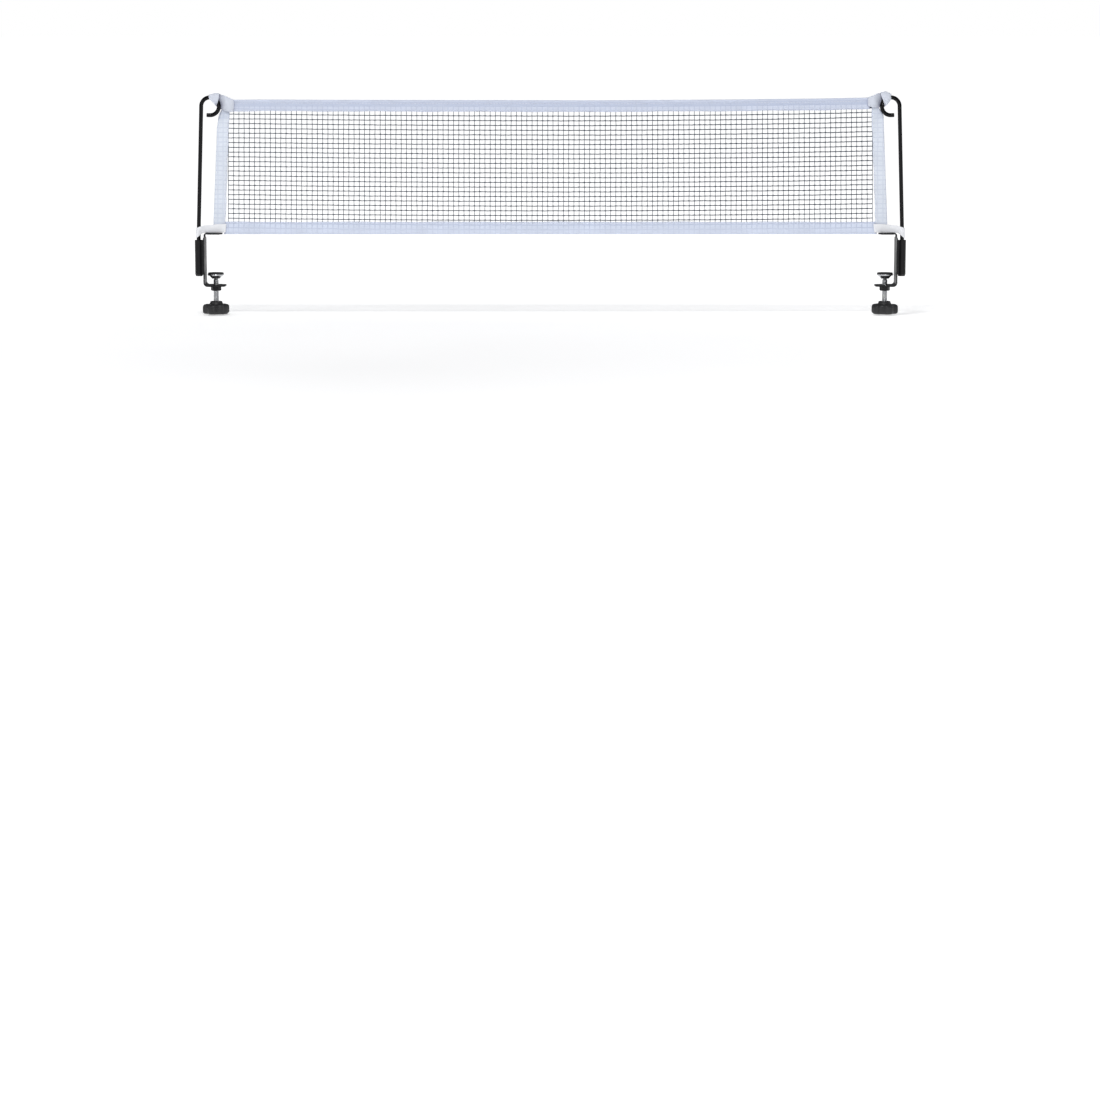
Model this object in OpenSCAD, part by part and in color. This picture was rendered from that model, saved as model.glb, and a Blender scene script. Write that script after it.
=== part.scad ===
// Table tennis net set for a compact table: a tape-bound net hung between two
// hooked wire posts, each standing in a screw clamp on the table's side edge.
// Millimetres. X runs along the net, Y along the table, Z up.
// The origin is the middle of the net's bottom edge, on the table's playing surface.

/* [Table] */
// Width of the table between its two side edges
table_w = 762; // [700:2:800]
// Height of the table's edge that the clamps grip, board and apron together
edge_h = 42; // [36:1:42]

/* [Net] */
// Height of the net's top edge above the table
net_h = 147.8; // [146:0.2:149]
// Half length of the net's top edge, over the side tapes
net_top_half = 365.6; // [364:0.2:367]
// Half length of the net's bottom edge, over the side tapes
net_bottom_half = 373; // [371:0.2:374]
// Width of the folded tape along the top edge
top_tape_w = 14.2; // [12:0.2:16]
// Width of the folded tape along the bottom edge
bottom_tape_w = 12.8; // [11:0.2:14]
// Width of the folded tapes at the two ends
side_tape_w = 13.4; // [12:0.2:14]
// Thickness of a folded tape with the netting between its layers
tape_t = 1.8; // [1.4:0.1:2]
// Thickness of the netting
mesh_t = 0.8; // [0.6:0.1:1]
// Diameter of the cord in the top hem
cord_d = 2; // [1.6:0.1:2]

/* [Wire posts] */
// Diameter of the post's round steel wire
wire_d = 4.5; // [4:0.1:4.5]
// Distance from the table's side edge out to the post's axis
post_out = 7.4; // [7.4:0.1:8]
// Distance that the posts stand in front of the net, which hangs behind the hooks
post_front = 3.4; // [3.4:0.1:4]
// Lean of the post towards the net, in degrees
post_lean = 2; // [1.5:0.1:2.5]
// Height of the hook's centre above the table
hook_z = 140.5; // [140:0.1:141]
// Radius of the hook, to the wire's axis
hook_r = 9.7; // [9.4:0.1:10]
// Straight end of the hook after its bend
hook_tail = 3.6; // [2:0.1:4]
// Depth of the post's lower end below the table's surface
post_depth = 42; // [36:1:42]

/* [Clamps] */
// Thickness of the clamp's steel strip
strip_t = 1.4; // [1.2:0.1:1.8]
// Width of the clamp's back wall and lower arm
strip_w = 28; // [24:1:32]
// Width of the narrow tongue that is the upper jaw
jaw_w = 10; // [9:0.5:12]
// Reach of the upper jaw over the table
jaw_reach = 19; // [17:1:20]
// Thickness of the felt pad under the upper jaw
jaw_pad_t = 0.3; // [0.3:0.1:0.6]
// Distance from the table's side edge in to the clamp screw's axis
screw_in = 11; // [11:0.5:12]
// Diameter of the clamp screw
screw_d = 6; // [5.8:0.1:6]
// Diameter of the pressure foot
foot_d = 18; // [16:0.5:18]
// How far the clamp screw opens below the stated edge height
open_travel = 6; // [4:0.5:6]
// How far the clamp screw closes above the stated edge height
close_travel = 10; // [8:0.5:10]
// Diameter of the knob over its lobes
knob_d = 30; // [26:1:32]
// Height of the knob
knob_h = 14; // [12:1:16]

/* [Hidden] */
$fn = 64;

eps = 0.01;
edge_x = table_w / 2;
post_x = edge_x + post_out;

// the leaning leg's length, and the hook's centre
leg_len = hook_z / cos(post_lean) + hook_r * tan(post_lean);
hook_x = post_x - hook_z * tan(post_lean) - hook_r / cos(post_lean);

// netting and tapes
hem_r = cord_d / 2 + 0.9;
hem_z = net_h - hem_r;
top_z = net_h - top_tape_w;
function net_half(z) = net_bottom_half + (net_top_half - net_bottom_half) * z / net_h;
top_end = hook_x - hook_r - wire_d / 2 - 0.4;
corner_lift = jaw_pad_t + strip_t + 0.4;
bottom_end = edge_x - jaw_reach - 1.5;

// clamp
gap_wall = 0.2;
wall_in = edge_x + gap_wall;
wall_out = wall_in + strip_t;
jaw_r = 1.0;
arm_r = 3.0;
foot_pad_t = 1.5;
foot_h = 5;
arm_top = -(edge_h + foot_pad_t + foot_h + open_travel + 1);
arm_bottom = arm_top - strip_t;
nut_h = 5;
nut_af = 10;
screw_x = edge_x - screw_in;
knob_top = arm_bottom - nut_h - close_travel - 1.7;
knob_bottom = knob_top - knob_h;
socket_top = -6;
shoulder_z = -3;
socket_bottom = -(post_depth + 2);
socket_r = 4.4;
socket_bore = wire_d / 2 + 0.075;

black = [0.05, 0.05, 0.055];
soft_black = [0.09, 0.09, 0.09];
white = [0.93, 0.94, 0.98];
zinc = [0.72, 0.73, 0.74];

// Everything on the right is drawn once. A half turn about Z makes the left one
// of a piece that is the same front and back; the ribbons are mirrored.
module side(right = true) {
    if (right) children();
    else rotate([0, 0, 180]) children();
}
module post_side(right = true) translate([0, -post_front, 0]) side(right) children();
module mirrored_side() mirror([1, 0, 0]) children();

// ---------- net ----------

module net_mesh() {
    z0 = bottom_tape_w;
    color([0.16, 0.18, 0.2])
    rotate([90, 0, 0]) translate([0, 0, -mesh_t / 2]) linear_extrude(mesh_t)
        polygon([
            [-net_half(z0) + side_tape_w, z0], [net_half(z0) - side_tape_w, z0],
            [net_half(top_z) - side_tape_w, top_z], [-net_half(top_z) + side_tape_w, top_z]
        ]);
}

// A hem round the cord, with the stitched band under it
module top_tape() {
    color(white)
    rotate([90, 0, 90]) translate([0, 0, -top_end]) linear_extrude(2 * top_end)
        difference() {
            union() {
                translate([0, hem_z]) circle(r = hem_r);
                translate([-tape_t / 2, top_z]) square([tape_t, hem_z - top_z]);
            }
            translate([0, hem_z]) circle(r = cord_d / 2 + 0.1);
        }
}

module bottom_tape() {
    color(white)
    translate([-bottom_end, -tape_t / 2, 0]) cube([2 * bottom_end, tape_t, bottom_tape_w]);
}

// The end tape follows the net's slanting edge and clears the clamp's jaw.
module side_tape() {
    color(white)
    rotate([90, 0, 0]) translate([0, 0, -tape_t / 2]) linear_extrude(tape_t)
        polygon([
            [bottom_end + 0.05, corner_lift],
            [net_half(corner_lift), corner_lift],
            [net_half(top_z), top_z],
            [net_half(top_z) - side_tape_w + 0.05, top_z],
            [net_half(bottom_tape_w) - side_tape_w + 0.05, bottom_tape_w],
            [bottom_end + 0.05, bottom_tape_w]
        ]);
}

module top_cord() {
    color(white)
    translate([-top_end + 1, 0, hem_z]) rotate([0, 90, 0]) cylinder(d = cord_d, h = 2 * top_end - 2);
}

// Ribbon that wraps the top of the hook and runs behind it to the net's upper corner
module top_tie() {
    cx = hook_x;
    color(white) union() {
        translate([cx, -post_front, hook_z]) rotate([90, 0, 0]) rotate([0, 0, 62])
            rotate_extrude(angle = 62) translate([hook_r, 0])
                difference() { circle(r = wire_d / 2 + 1.7); circle(r = wire_d / 2 + 0.4); }
        rotate([90, 0, 0]) translate([0, 0, -tape_t / 2]) linear_extrude(tape_t)
            polygon([
                [cx + 2, hook_z + hook_r + 1.6], [cx - 1, hook_z + hook_r - 1.6],
                [net_top_half, hook_z - 3], [net_top_half, top_z + 0.05], [top_end + 0.05, top_z + 0.05],
                [top_end + 0.05, net_h], [net_top_half - 1, net_h + 2]
            ]);
    }
}

// Ribbon from the front of the net's lower corner round the post to its back
module bottom_loop() {
    z1 = corner_lift + 0.2;
    h = 6.2;
    ring_r = wire_d / 2 + 1.4;
    y1 = tape_t / 2 + 0.15;
    color(white) difference() {
        union() {
            translate([post_x, -post_front, -3.6]) cylinder(r = ring_r, h = 3.6 + z1 + h - 2.6);
            translate([0, 0, z1]) linear_extrude(h) polygon([
                [bottom_end + 1, -y1], [bottom_end + 1, -y1 - 1], [net_bottom_half + 3, -y1 - 1],
                [post_x, -post_front - ring_r], [post_x, -post_front], [net_bottom_half + 4.5, -y1]
            ]);
            translate([0, 0, z1]) linear_extrude(h) polygon([
                [bottom_end + 1, y1], [bottom_end + 1, y1 + 1], [net_bottom_half + 3, y1 + 1],
                [post_x, -post_front + ring_r], [post_x, -post_front], [net_bottom_half + 4.5, y1]
            ]);
        }
        translate([post_x, -post_front, -5]) cylinder(r = wire_d / 2 + 0.35, h = 20);
        // the ribbon is open between its two layers
        translate([0, 0, z1 - 1]) linear_extrude(h + 2) polygon([
            [bottom_end, -y1], [bottom_end, y1], [net_bottom_half + 4.5, y1],
            [post_x - ring_r, -post_front + 2.2], [post_x - ring_r, -post_front - 1], [net_bottom_half + 4.5, -y1]
        ]);
    }
}

// ---------- wire post ----------

// The leg stands upright in its socket and leans from the table's surface upwards.
module wire_post() {
    color(black) union() {
        translate([post_x, 0, -post_depth]) cylinder(d1 = wire_d - 1, d2 = wire_d, h = 0.5);
        translate([post_x, 0, -post_depth + 0.5]) cylinder(d = wire_d, h = post_depth - 0.5);
        // slight swelling where the wire is bent, at the table's surface
        translate([post_x, 0, 0]) sphere(d = wire_d + 0.04);
        translate([post_x, 0, 0]) rotate([0, -post_lean, 0]) {
            cylinder(d = wire_d, h = leg_len);
            translate([-hook_r, 0, leg_len]) rotate([90, 0, 0])
                rotate_extrude(angle = 270) translate([hook_r, 0]) circle(d = wire_d);
            translate([-hook_r, 0, leg_len - hook_r]) rotate([0, 90, 0]) {
                cylinder(d = wire_d, h = hook_tail - 0.4);
                translate([0, 0, hook_tail - 0.4]) cylinder(d1 = wire_d, d2 = wire_d - 0.8, h = 0.4);
            }
        }
    }
}

// ---------- clamp ----------

// A quarter bend of the strip, in the X-Z plane, from the +X side to the +Z side
module quarter_bend(r_in, t, w) {
    intersection() {
        translate([0, w / 2, 0]) rotate([90, 0, 0]) difference() {
            cylinder(r = r_in + t, h = w);
            translate([0, 0, -1]) cylinder(r = r_in, h = w + 2);
        }
        translate([0, -w, 0]) cube([r_in + t + 1, 2 * w, r_in + t + 1]);
    }
}

module clamp_frame() {
    jaw_end = edge_x - jaw_reach;
    arm_end = screw_x - 11;
    jb_x = wall_in - jaw_r;
    jb_z = jaw_pad_t - jaw_r;
    ab_x = wall_in - arm_r;
    ab_z = arm_top + arm_r;
    color(black) difference() {
        union() {
            // upper jaw, a tongue with a rounded end
            translate([jaw_end + jaw_w / 2, -jaw_w / 2, jaw_pad_t]) cube([jb_x - jaw_end - jaw_w / 2, jaw_w, strip_t]);
            translate([jaw_end + jaw_w / 2, 0, jaw_pad_t]) intersection() {
                cylinder(r = jaw_w / 2, h = strip_t);
                translate([-jaw_w, -jaw_w, -1]) cube([jaw_w + eps, 2 * jaw_w, strip_t + 2]);
            }
            translate([jb_x, 0, jb_z]) quarter_bend(jaw_r, strip_t, jaw_w);
            // back wall, with rounded shoulders below the tongue
            translate([wall_in, -jaw_w / 2, jb_z - 8]) cube([strip_t, jaw_w, 8]);
            translate([wall_in, 0, 0]) rotate([90, 0, 90]) linear_extrude(strip_t) {
                translate([-strip_w / 2, ab_z]) square([strip_w, shoulder_z - 4 - ab_z]);
                translate([-strip_w / 2 + 4, shoulder_z - 4 - eps]) square([strip_w - 8, 4 + eps]);
                for (s = [-1, 1]) translate([s * (strip_w / 2 - 4), shoulder_z - 4]) circle(r = 4);
            }
            translate([ab_x, 0, ab_z]) mirror([0, 0, 1]) quarter_bend(arm_r, strip_t, strip_w);
            // lower arm, with a rounded end
            translate([screw_x, -strip_w / 2, arm_bottom]) cube([ab_x - screw_x, strip_w, strip_t]);
            intersection() {
                translate([screw_x, 0, arm_bottom]) cylinder(r = strip_w / 2, h = strip_t);
                translate([arm_end, -strip_w / 2, arm_bottom - 1]) cube([screw_x - arm_end + eps, strip_w, strip_t + 2]);
            }
        }
        translate([screw_x, 0, arm_bottom - 1]) cylinder(d = screw_d + 0.6, h = strip_t + 2);
    }
}

module jaw_pad() {
    color(soft_black)
    translate([edge_x - jaw_reach + 3, -jaw_w / 2 + 1, 0]) cube([jaw_reach - 5, jaw_w - 2, jaw_pad_t]);
}

// Tube that holds the post, with a flat foot against the clamp's wall
module post_socket() {
    color(black)
    translate([0, 0, socket_bottom]) difference() {
        union() {
            translate([post_x, 0, 0]) cylinder(r = socket_r, h = socket_top - socket_bottom);
            translate([wall_out, -3.2, 0]) cube([post_x - wall_out, 6.4, socket_top - socket_bottom]);
        }
        translate([post_x, 0, -1]) cylinder(r = socket_bore, h = socket_top - socket_bottom + 2);
    }
}

module socket_plug() {
    color(soft_black)
    translate([post_x, 0, socket_bottom]) union() {
        translate([0, 0, -1.8]) cylinder(r1 = socket_r - 0.8, r2 = socket_r - 0.1, h = 1.8);
        cylinder(r = socket_bore - 0.05, h = -post_depth - socket_bottom - 0.1);
    }
}

module weld_nut() {
    color(black)
    translate([screw_x, 0, arm_bottom - nut_h]) difference() {
        intersection() {
            cylinder(d = nut_af / cos(30), h = nut_h, $fn = 6);
            // corners of the nut's lower face are chamfered
            union() {
                translate([0, 0, 0.8]) cylinder(d = nut_af / cos(30) + 1, h = nut_h);
                cylinder(d1 = nut_af - 0.2, d2 = nut_af / cos(30) + 0.3, h = 0.8);
            }
        }
        translate([0, 0, -1]) cylinder(d = screw_d + 0.1, h = nut_h + 2);
    }
}

// The screw's tip is a groove and a head that the foot is swaged round.
foot_bottom = -(edge_h + foot_pad_t + foot_h);
module clamp_screw() {
    color(zinc)
    translate([screw_x, 0, 0]) union() {
        translate([0, 0, knob_bottom + 3]) cylinder(d = screw_d, h = foot_bottom - 0.3 - knob_bottom - 3 - 0.8);
        translate([0, 0, foot_bottom - 1.1]) cylinder(d1 = screw_d, d2 = 4, h = 0.8);
        translate([0, 0, foot_bottom - 0.3]) cylinder(d = 3.6, h = 2.0);
        translate([0, 0, foot_bottom + 1.7]) cylinder(d = 5.2, h = 1.5);
    }
}

module pressure_foot() {
    color(zinc)
    translate([screw_x, 0, foot_bottom]) difference() {
        union() {
            translate([0, 0, foot_h - 1.6]) cylinder(d = foot_d, h = 1.6);
            cylinder(d1 = 9, d2 = foot_d - 3, h = foot_h - 1.6);
        }
        translate([0, 0, -1]) cylinder(d = 3.76, h = 4);
        translate([0, 0, 1.62]) cylinder(d = 5.36, h = 1.66);
    }
}

module foot_pad() {
    color(soft_black)
    translate([screw_x, 0, -(edge_h + foot_pad_t)]) cylinder(d = foot_d - 0.6, h = foot_pad_t);
}

// Five-lobed hand knob, with a neck towards the nut
module knob() {
    color(soft_black)
    translate([screw_x, 0, knob_bottom]) difference() {
        union() {
            difference() {
                union() {
                    translate([0, 0, 1.2]) cylinder(d = knob_d, h = knob_h - 5.4);
                    cylinder(d1 = knob_d - 2.4, d2 = knob_d, h = 1.2);
                    translate([0, 0, knob_h - 4.2]) cylinder(d1 = knob_d, d2 = knob_d - 3, h = 1.2);
                }
                for (i = [0:4]) rotate([0, 0, 36 + 72 * i])
                    translate([knob_d / 2 + 3.2, 0, -1]) cylinder(d = 13, h = knob_h + 2);
            }
            translate([0, 0, knob_h - 3.2]) cylinder(d1 = 15, d2 = 12.5, h = 3.2);
        }
        translate([0, 0, 3]) cylinder(d = screw_d + 0.04, h = knob_h);
        translate([0, 0, -1]) cylinder(d = 12, h = 2);
    }
}

module knob_cap() {
    color(black)
    translate([screw_x, 0, knob_bottom - 0.6]) union() {
        cylinder(d1 = 10.6, d2 = 11.8, h = 0.6);
        cylinder(d = 11.8, h = 1.55);
    }
}

net_mesh();
top_tape();
bottom_tape();
side(false) side_tape();  // left_side_tape
side() side_tape();  // right_side_tape
top_cord();
mirrored_side() top_tie();  // left_top_tie
side() top_tie();  // right_top_tie
mirrored_side() bottom_loop();  // left_bottom_loop
side() bottom_loop();  // right_bottom_loop
post_side(false) wire_post();  // left_wire_post
post_side() wire_post();  // right_wire_post
post_side(false) clamp_frame();  // left_clamp_frame
post_side() clamp_frame();  // right_clamp_frame
post_side(false) jaw_pad();  // left_jaw_pad
post_side() jaw_pad();  // right_jaw_pad
post_side(false) post_socket();  // left_post_socket
post_side() post_socket();  // right_post_socket
post_side(false) socket_plug();  // left_socket_plug
post_side() socket_plug();  // right_socket_plug
post_side(false) weld_nut();  // left_weld_nut
post_side() weld_nut();  // right_weld_nut
post_side(false) clamp_screw();  // left_clamp_screw
post_side() clamp_screw();  // right_clamp_screw
post_side(false) pressure_foot();  // left_pressure_foot
post_side() pressure_foot();  // right_pressure_foot
post_side(false) foot_pad();  // left_foot_pad
post_side() foot_pad();  // right_foot_pad
post_side(false) knob();  // left_knob
post_side() knob();  // right_knob
post_side(false) knob_cap();  // left_knob_cap
post_side() knob_cap();  // right_knob_cap
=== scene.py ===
import math

import bmesh
import bpy
import numpy as np
from mathutils import Matrix, Vector


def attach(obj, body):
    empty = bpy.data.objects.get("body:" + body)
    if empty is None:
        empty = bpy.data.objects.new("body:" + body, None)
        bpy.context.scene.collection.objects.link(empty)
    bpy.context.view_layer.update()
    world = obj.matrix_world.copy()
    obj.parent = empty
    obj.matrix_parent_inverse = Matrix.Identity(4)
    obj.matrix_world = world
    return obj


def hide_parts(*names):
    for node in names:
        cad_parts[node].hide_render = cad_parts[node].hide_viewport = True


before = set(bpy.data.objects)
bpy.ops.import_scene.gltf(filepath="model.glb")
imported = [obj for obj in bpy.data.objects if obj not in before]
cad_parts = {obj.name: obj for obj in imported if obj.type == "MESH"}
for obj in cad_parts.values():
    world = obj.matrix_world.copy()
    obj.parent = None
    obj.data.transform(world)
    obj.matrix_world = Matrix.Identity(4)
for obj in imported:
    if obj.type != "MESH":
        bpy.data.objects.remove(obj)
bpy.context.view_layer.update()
MM = 0.001
scene = bpy.context.scene

# ---------------------------------------------------------------- camera

cam_data = bpy.data.cameras.new("camera")
cam = bpy.data.objects.new("camera", cam_data)
scene.collection.objects.link(cam)
cam_data.sensor_width = 36
cam_data.lens = 36 * 3521 / 1100
cam_data.clip_start, cam_data.clip_end = 0.05, 100
cam.location = (-0.00044, -3.8995, 0.2451)
cam.rotation_euler = (math.radians(90 - 8.72), 0, 0)
scene.camera = cam

# ---------------------------------------------------------------- sizes, in millimetres

NET_H = 147.8
TAPE_VIS, BOTTOM_VIS = 12.9, 13.8      # the tapes, as they hang
HOOK = np.array([373.79, -3.4, 140.5])   # hook's centre, right side
HOOK_R, WIRE_R = 9.7, 2.25
POST_X, POST_Y = 388.4, -3.4
LEAN = math.radians(2)
EDGE = 381.0
TAPE_W, SIDE_W, BOTTOM_W = 14.2, 13.4, 12.8
SCREW_X = 370.0


def net_half(z):
    return 373.0 - 7.4 * z / NET_H


TOP_X = [-375, -345.5, -319.1, -240, -134.5, -55.4, -2.6, 50.1, 102.9, 155.6, 208.3, 261.1, 287.5, 313.8, 340.2, 375]
TOP_Z = [147.6, 147.8, 148.05, 147.7, 147.5, 147.4, 147.25, 147.15, 147.45, 147.8, 148.15, 148.7, 149.0, 149.4, 150.0, 150.6]


def top_edge(x):
    """Height of the top tape's upper edge, which sags a little in the middle and rises to the right."""
    x = np.asarray(x, float)
    ys = 0
    for d in (-9, -3, 3, 9):
        ys = ys + np.interp(x + d, TOP_X, TOP_Z)
    return ys / 4


def lift(x, z):
    """How far the cloth at nominal height z is moved up by the top edge's own line."""
    return (top_edge(x) - NET_H) * np.clip(np.asarray(z, float) / NET_H, 0, 1) ** 1.3


def billow(x, z):
    """The net's slow waves out of its plane."""
    x, z = np.asarray(x, float), np.asarray(z, float)
    s = np.clip(z / NET_H, 0, 1)
    calm = 1 - np.clip((np.abs(x) - 330) / 25, 0, 1)
    return calm * (0.55 * np.sin(x / 61 + 1.3) * s + 0.3 * np.sin(x / 23 + z / 60) * s + 0.12 * np.sin(x / 9.1 + 2) * s)


# ---------------------------------------------------------------- mesh helpers

def make(name, verts, quads=None, tris=None, smooth=True, fix_normals=True):
    verts = np.asarray(verts, np.float64) * MM
    quads = np.zeros((0, 4), np.int32) if quads is None else np.asarray(quads, np.int32).reshape(-1, 4)
    tris = np.zeros((0, 3), np.int32) if tris is None else np.asarray(tris, np.int32).reshape(-1, 3)
    me = bpy.data.meshes.new(name)
    me.vertices.add(len(verts))
    me.vertices.foreach_set("co", verts.astype(np.float32).ravel())
    loops = np.concatenate([quads.ravel(), tris.ravel()]).astype(np.int32)
    me.loops.add(len(loops))
    me.loops.foreach_set("vertex_index", loops)
    starts = np.concatenate([np.arange(len(quads)) * 4, len(quads) * 4 + np.arange(len(tris)) * 3]).astype(np.int32)
    me.polygons.add(len(starts))
    me.polygons.foreach_set("loop_start", starts)
    me.polygons.foreach_set("use_smooth", np.full(len(starts), smooth))
    me.update(calc_edges=True)
    me.validate()
    if fix_normals:
        bm = bmesh.new()
        bm.from_mesh(me)
        bmesh.ops.recalc_face_normals(bm, faces=bm.faces)
        bm.to_mesh(me)
        bm.free()
    ob = bpy.data.objects.new(name, me)
    scene.collection.objects.link(ob)
    return ob


def grid_quads(nu, nv, close_u=False, close_v=False, base=0):
    """Quads of a grid whose point (i, j) is number i * nv + j."""
    i = np.arange(nu if close_u else nu - 1)
    j = np.arange(nv if close_v else nv - 1)
    I, J = np.meshgrid(i, j, indexing="ij")
    I2, J2 = (I + 1) % nu, (J + 1) % nv
    q = np.stack([I * nv + J, I2 * nv + J, I2 * nv + J2, I * nv + J2], -1).reshape(-1, 4)
    return q + base


def frames_along(path, start=None):
    """Tangents and two normals along a path, turned as little as possible."""
    path = np.asarray(path, float)
    t = np.gradient(path, axis=0)
    t /= np.linalg.norm(t, axis=1)[:, None]
    n = np.zeros_like(path)
    a = np.array(start if start is not None else (0, 1, 0), float)
    if abs(a @ t[0]) > 0.9:
        a = np.array((1.0, 0, 0))
    n[0] = a - (a @ t[0]) * t[0]
    n[0] /= np.linalg.norm(n[0])
    for k in range(1, len(path)):
        v = n[k - 1] - (n[k - 1] @ t[k]) * t[k]
        n[k] = v / np.linalg.norm(v)
    return t, n, np.cross(t, n)


def tube_mesh(path, radius, sides=24, start=None):
    """Vertices, quads and end fans of a tube; radius is one number or one for each point."""
    path = np.asarray(path, float)
    t, n, b = frames_along(path, start)
    r = np.broadcast_to(np.asarray(radius, float), (len(path),))
    a = np.linspace(0, 2 * math.pi, sides, endpoint=False)
    ring = np.cos(a)[None, :, None] * n[:, None, :] + np.sin(a)[None, :, None] * b[:, None, :]
    v = path[:, None, :] + ring * r[:, None, None]
    v = v.reshape(-1, 3)
    q = grid_quads(len(path), sides, close_v=True)
    c0, c1 = len(v), len(v) + 1
    v = np.vstack([v, path[:1], path[-1:]])
    j = np.arange(sides)
    last = (len(path) - 1) * sides
    tr = np.vstack([np.stack([np.full(sides, c0), (j + 1) % sides, j], -1),
                    np.stack([np.full(sides, c1), last + j, last + (j + 1) % sides], -1)])
    return v, q, tr


class Pile:
    """Several meshes gathered into one piece."""

    def __init__(self):
        self.v, self.q, self.t, self.n = [], [], [], 0

    def add(self, v, q=None, t=None):
        self.v.append(np.asarray(v, float))
        if q is not None and len(q):
            self.q.append(np.asarray(q) + self.n)
        if t is not None and len(t):
            self.t.append(np.asarray(t) + self.n)
        self.n += len(v)

    def make(self, name, **kw):
        return make(name, np.vstack(self.v), np.vstack(self.q) if self.q else None,
                    np.vstack(self.t) if self.t else None, **kw)


def spline(points, n):
    """n points evenly spaced along a smooth line through the given ones (centripetal Catmull-Rom)."""
    p = np.asarray(points, float)
    p = np.vstack([2 * p[0] - p[1], p, 2 * p[-1] - p[-2]])
    out = []
    for k in range(1, len(p) - 2):
        p0, p1, p2, p3 = p[k - 1:k + 3]
        t0 = 0.0
        t1 = t0 + max(np.linalg.norm(p1 - p0), 1e-6) ** 0.5
        t2 = t1 + max(np.linalg.norm(p2 - p1), 1e-6) ** 0.5
        t3 = t2 + max(np.linalg.norm(p3 - p2), 1e-6) ** 0.5
        t = np.linspace(t1, t2, 24, endpoint=False)[:, None]
        a1 = (t1 - t) / (t1 - t0) * p0 + (t - t0) / (t1 - t0) * p1
        a2 = (t2 - t) / (t2 - t1) * p1 + (t - t1) / (t2 - t1) * p2
        a3 = (t3 - t) / (t3 - t2) * p2 + (t - t2) / (t3 - t2) * p3
        b1 = (t2 - t) / (t2 - t0) * a1 + (t - t0) / (t2 - t0) * a2
        b2 = (t3 - t) / (t3 - t1) * a2 + (t - t1) / (t3 - t1) * a3
        out.append((t2 - t) / (t2 - t1) * b1 + (t - t1) / (t2 - t1) * b2)
    dense = np.vstack(out + [p[-2][None]])
    s = np.concatenate([[0], np.cumsum(np.linalg.norm(np.diff(dense, axis=0), axis=1))])
    at = np.linspace(0, s[-1], n)
    return np.stack([np.interp(at, s, dense[:, k]) for k in range(dense.shape[1])], 1)


def thick_sheet(name, P, th, uv=None, close_u=False):
    """A closed thin solid from a grid P[nu, nv, 3] of its middle surface."""
    nu, nv = P.shape[:2]
    du = np.gradient(P, axis=0)
    if close_u:
        du = np.roll(P, -1, 0) - np.roll(P, 1, 0)
    dv = np.gradient(P, axis=1)
    n = np.cross(du, dv)
    n /= np.maximum(np.linalg.norm(n, axis=2)[..., None], 1e-9)
    th = np.broadcast_to(np.asarray(th, float), (nu, nv))[..., None]
    A, B = (P + n * th / 2).reshape(-1, 3), (P - n * th / 2).reshape(-1, 3)
    k = nu * nv
    q = [grid_quads(nu, nv, close_u=close_u), grid_quads(nu, nv, close_u=close_u)[:, ::-1] + k]

    def wall(idx, closed=False):
        idx = np.asarray(idx)
        a, b = (idx, np.roll(idx, -1)) if closed else (idx[:-1], idx[1:])
        return np.stack([a, b, b + k, a + k], -1)

    i = np.arange(nu)
    q.append(wall(i * nv, close_u)[:, ::-1])
    q.append(wall(i * nv + nv - 1, close_u))
    if not close_u:
        j = np.arange(nv)
        q.append(wall(j))
        q.append(wall((nu - 1) * nv + j)[:, ::-1])
    ob = make(name, np.vstack([A, B]), np.vstack(q))
    if uv is not None:
        add_uv(ob, np.vstack([uv.reshape(-1, 2)] * 2))
    return ob


def add_uv(ob, uv):
    """Cloth coordinates in metres, as a point attribute that the weave reads."""
    at = ob.data.attributes.new("cloth_uv", "FLOAT_VECTOR", "POINT")
    full = np.zeros((len(ob.data.vertices), 3), np.float32)
    full[:len(uv), :2] = uv * MM
    at.data.foreach_set("vector", full.ravel())


def revolve(name, profile, cx, cy, sides=64, close=True, lobes=None):
    """A solid of revolution about a vertical axis. profile is a closed list of (r, z); a point at r 0 ends it."""
    p = np.asarray(profile, float)
    a = np.linspace(0, 2 * math.pi, sides, endpoint=False)
    V = np.stack([cx + p[:, 0][:, None] * np.cos(a), cy + p[:, 0][:, None] * np.sin(a),
                  np.repeat(p[:, 1][:, None], sides, 1)], -1)
    if lobes is not None:
        V = lobes(V, p, a)
    v = V.reshape(-1, 3)
    if close:
        return make(name, v, grid_quads(len(p), sides, close_u=True, close_v=True))
    q = grid_quads(len(p), sides, close_v=True)
    c0, c1 = len(v), len(v) + 1
    v = np.vstack([v, [[cx, cy, p[0, 1]]], [[cx, cy, p[-1, 1]]]])
    j = np.arange(sides)
    last = (len(p) - 1) * sides
    t = np.vstack([np.stack([np.full(sides, c0), (j + 1) % sides, j], -1),
                   np.stack([np.full(sides, c1), last + j, last + (j + 1) % sides], -1)])
    return make(name, v, q, t)


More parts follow.
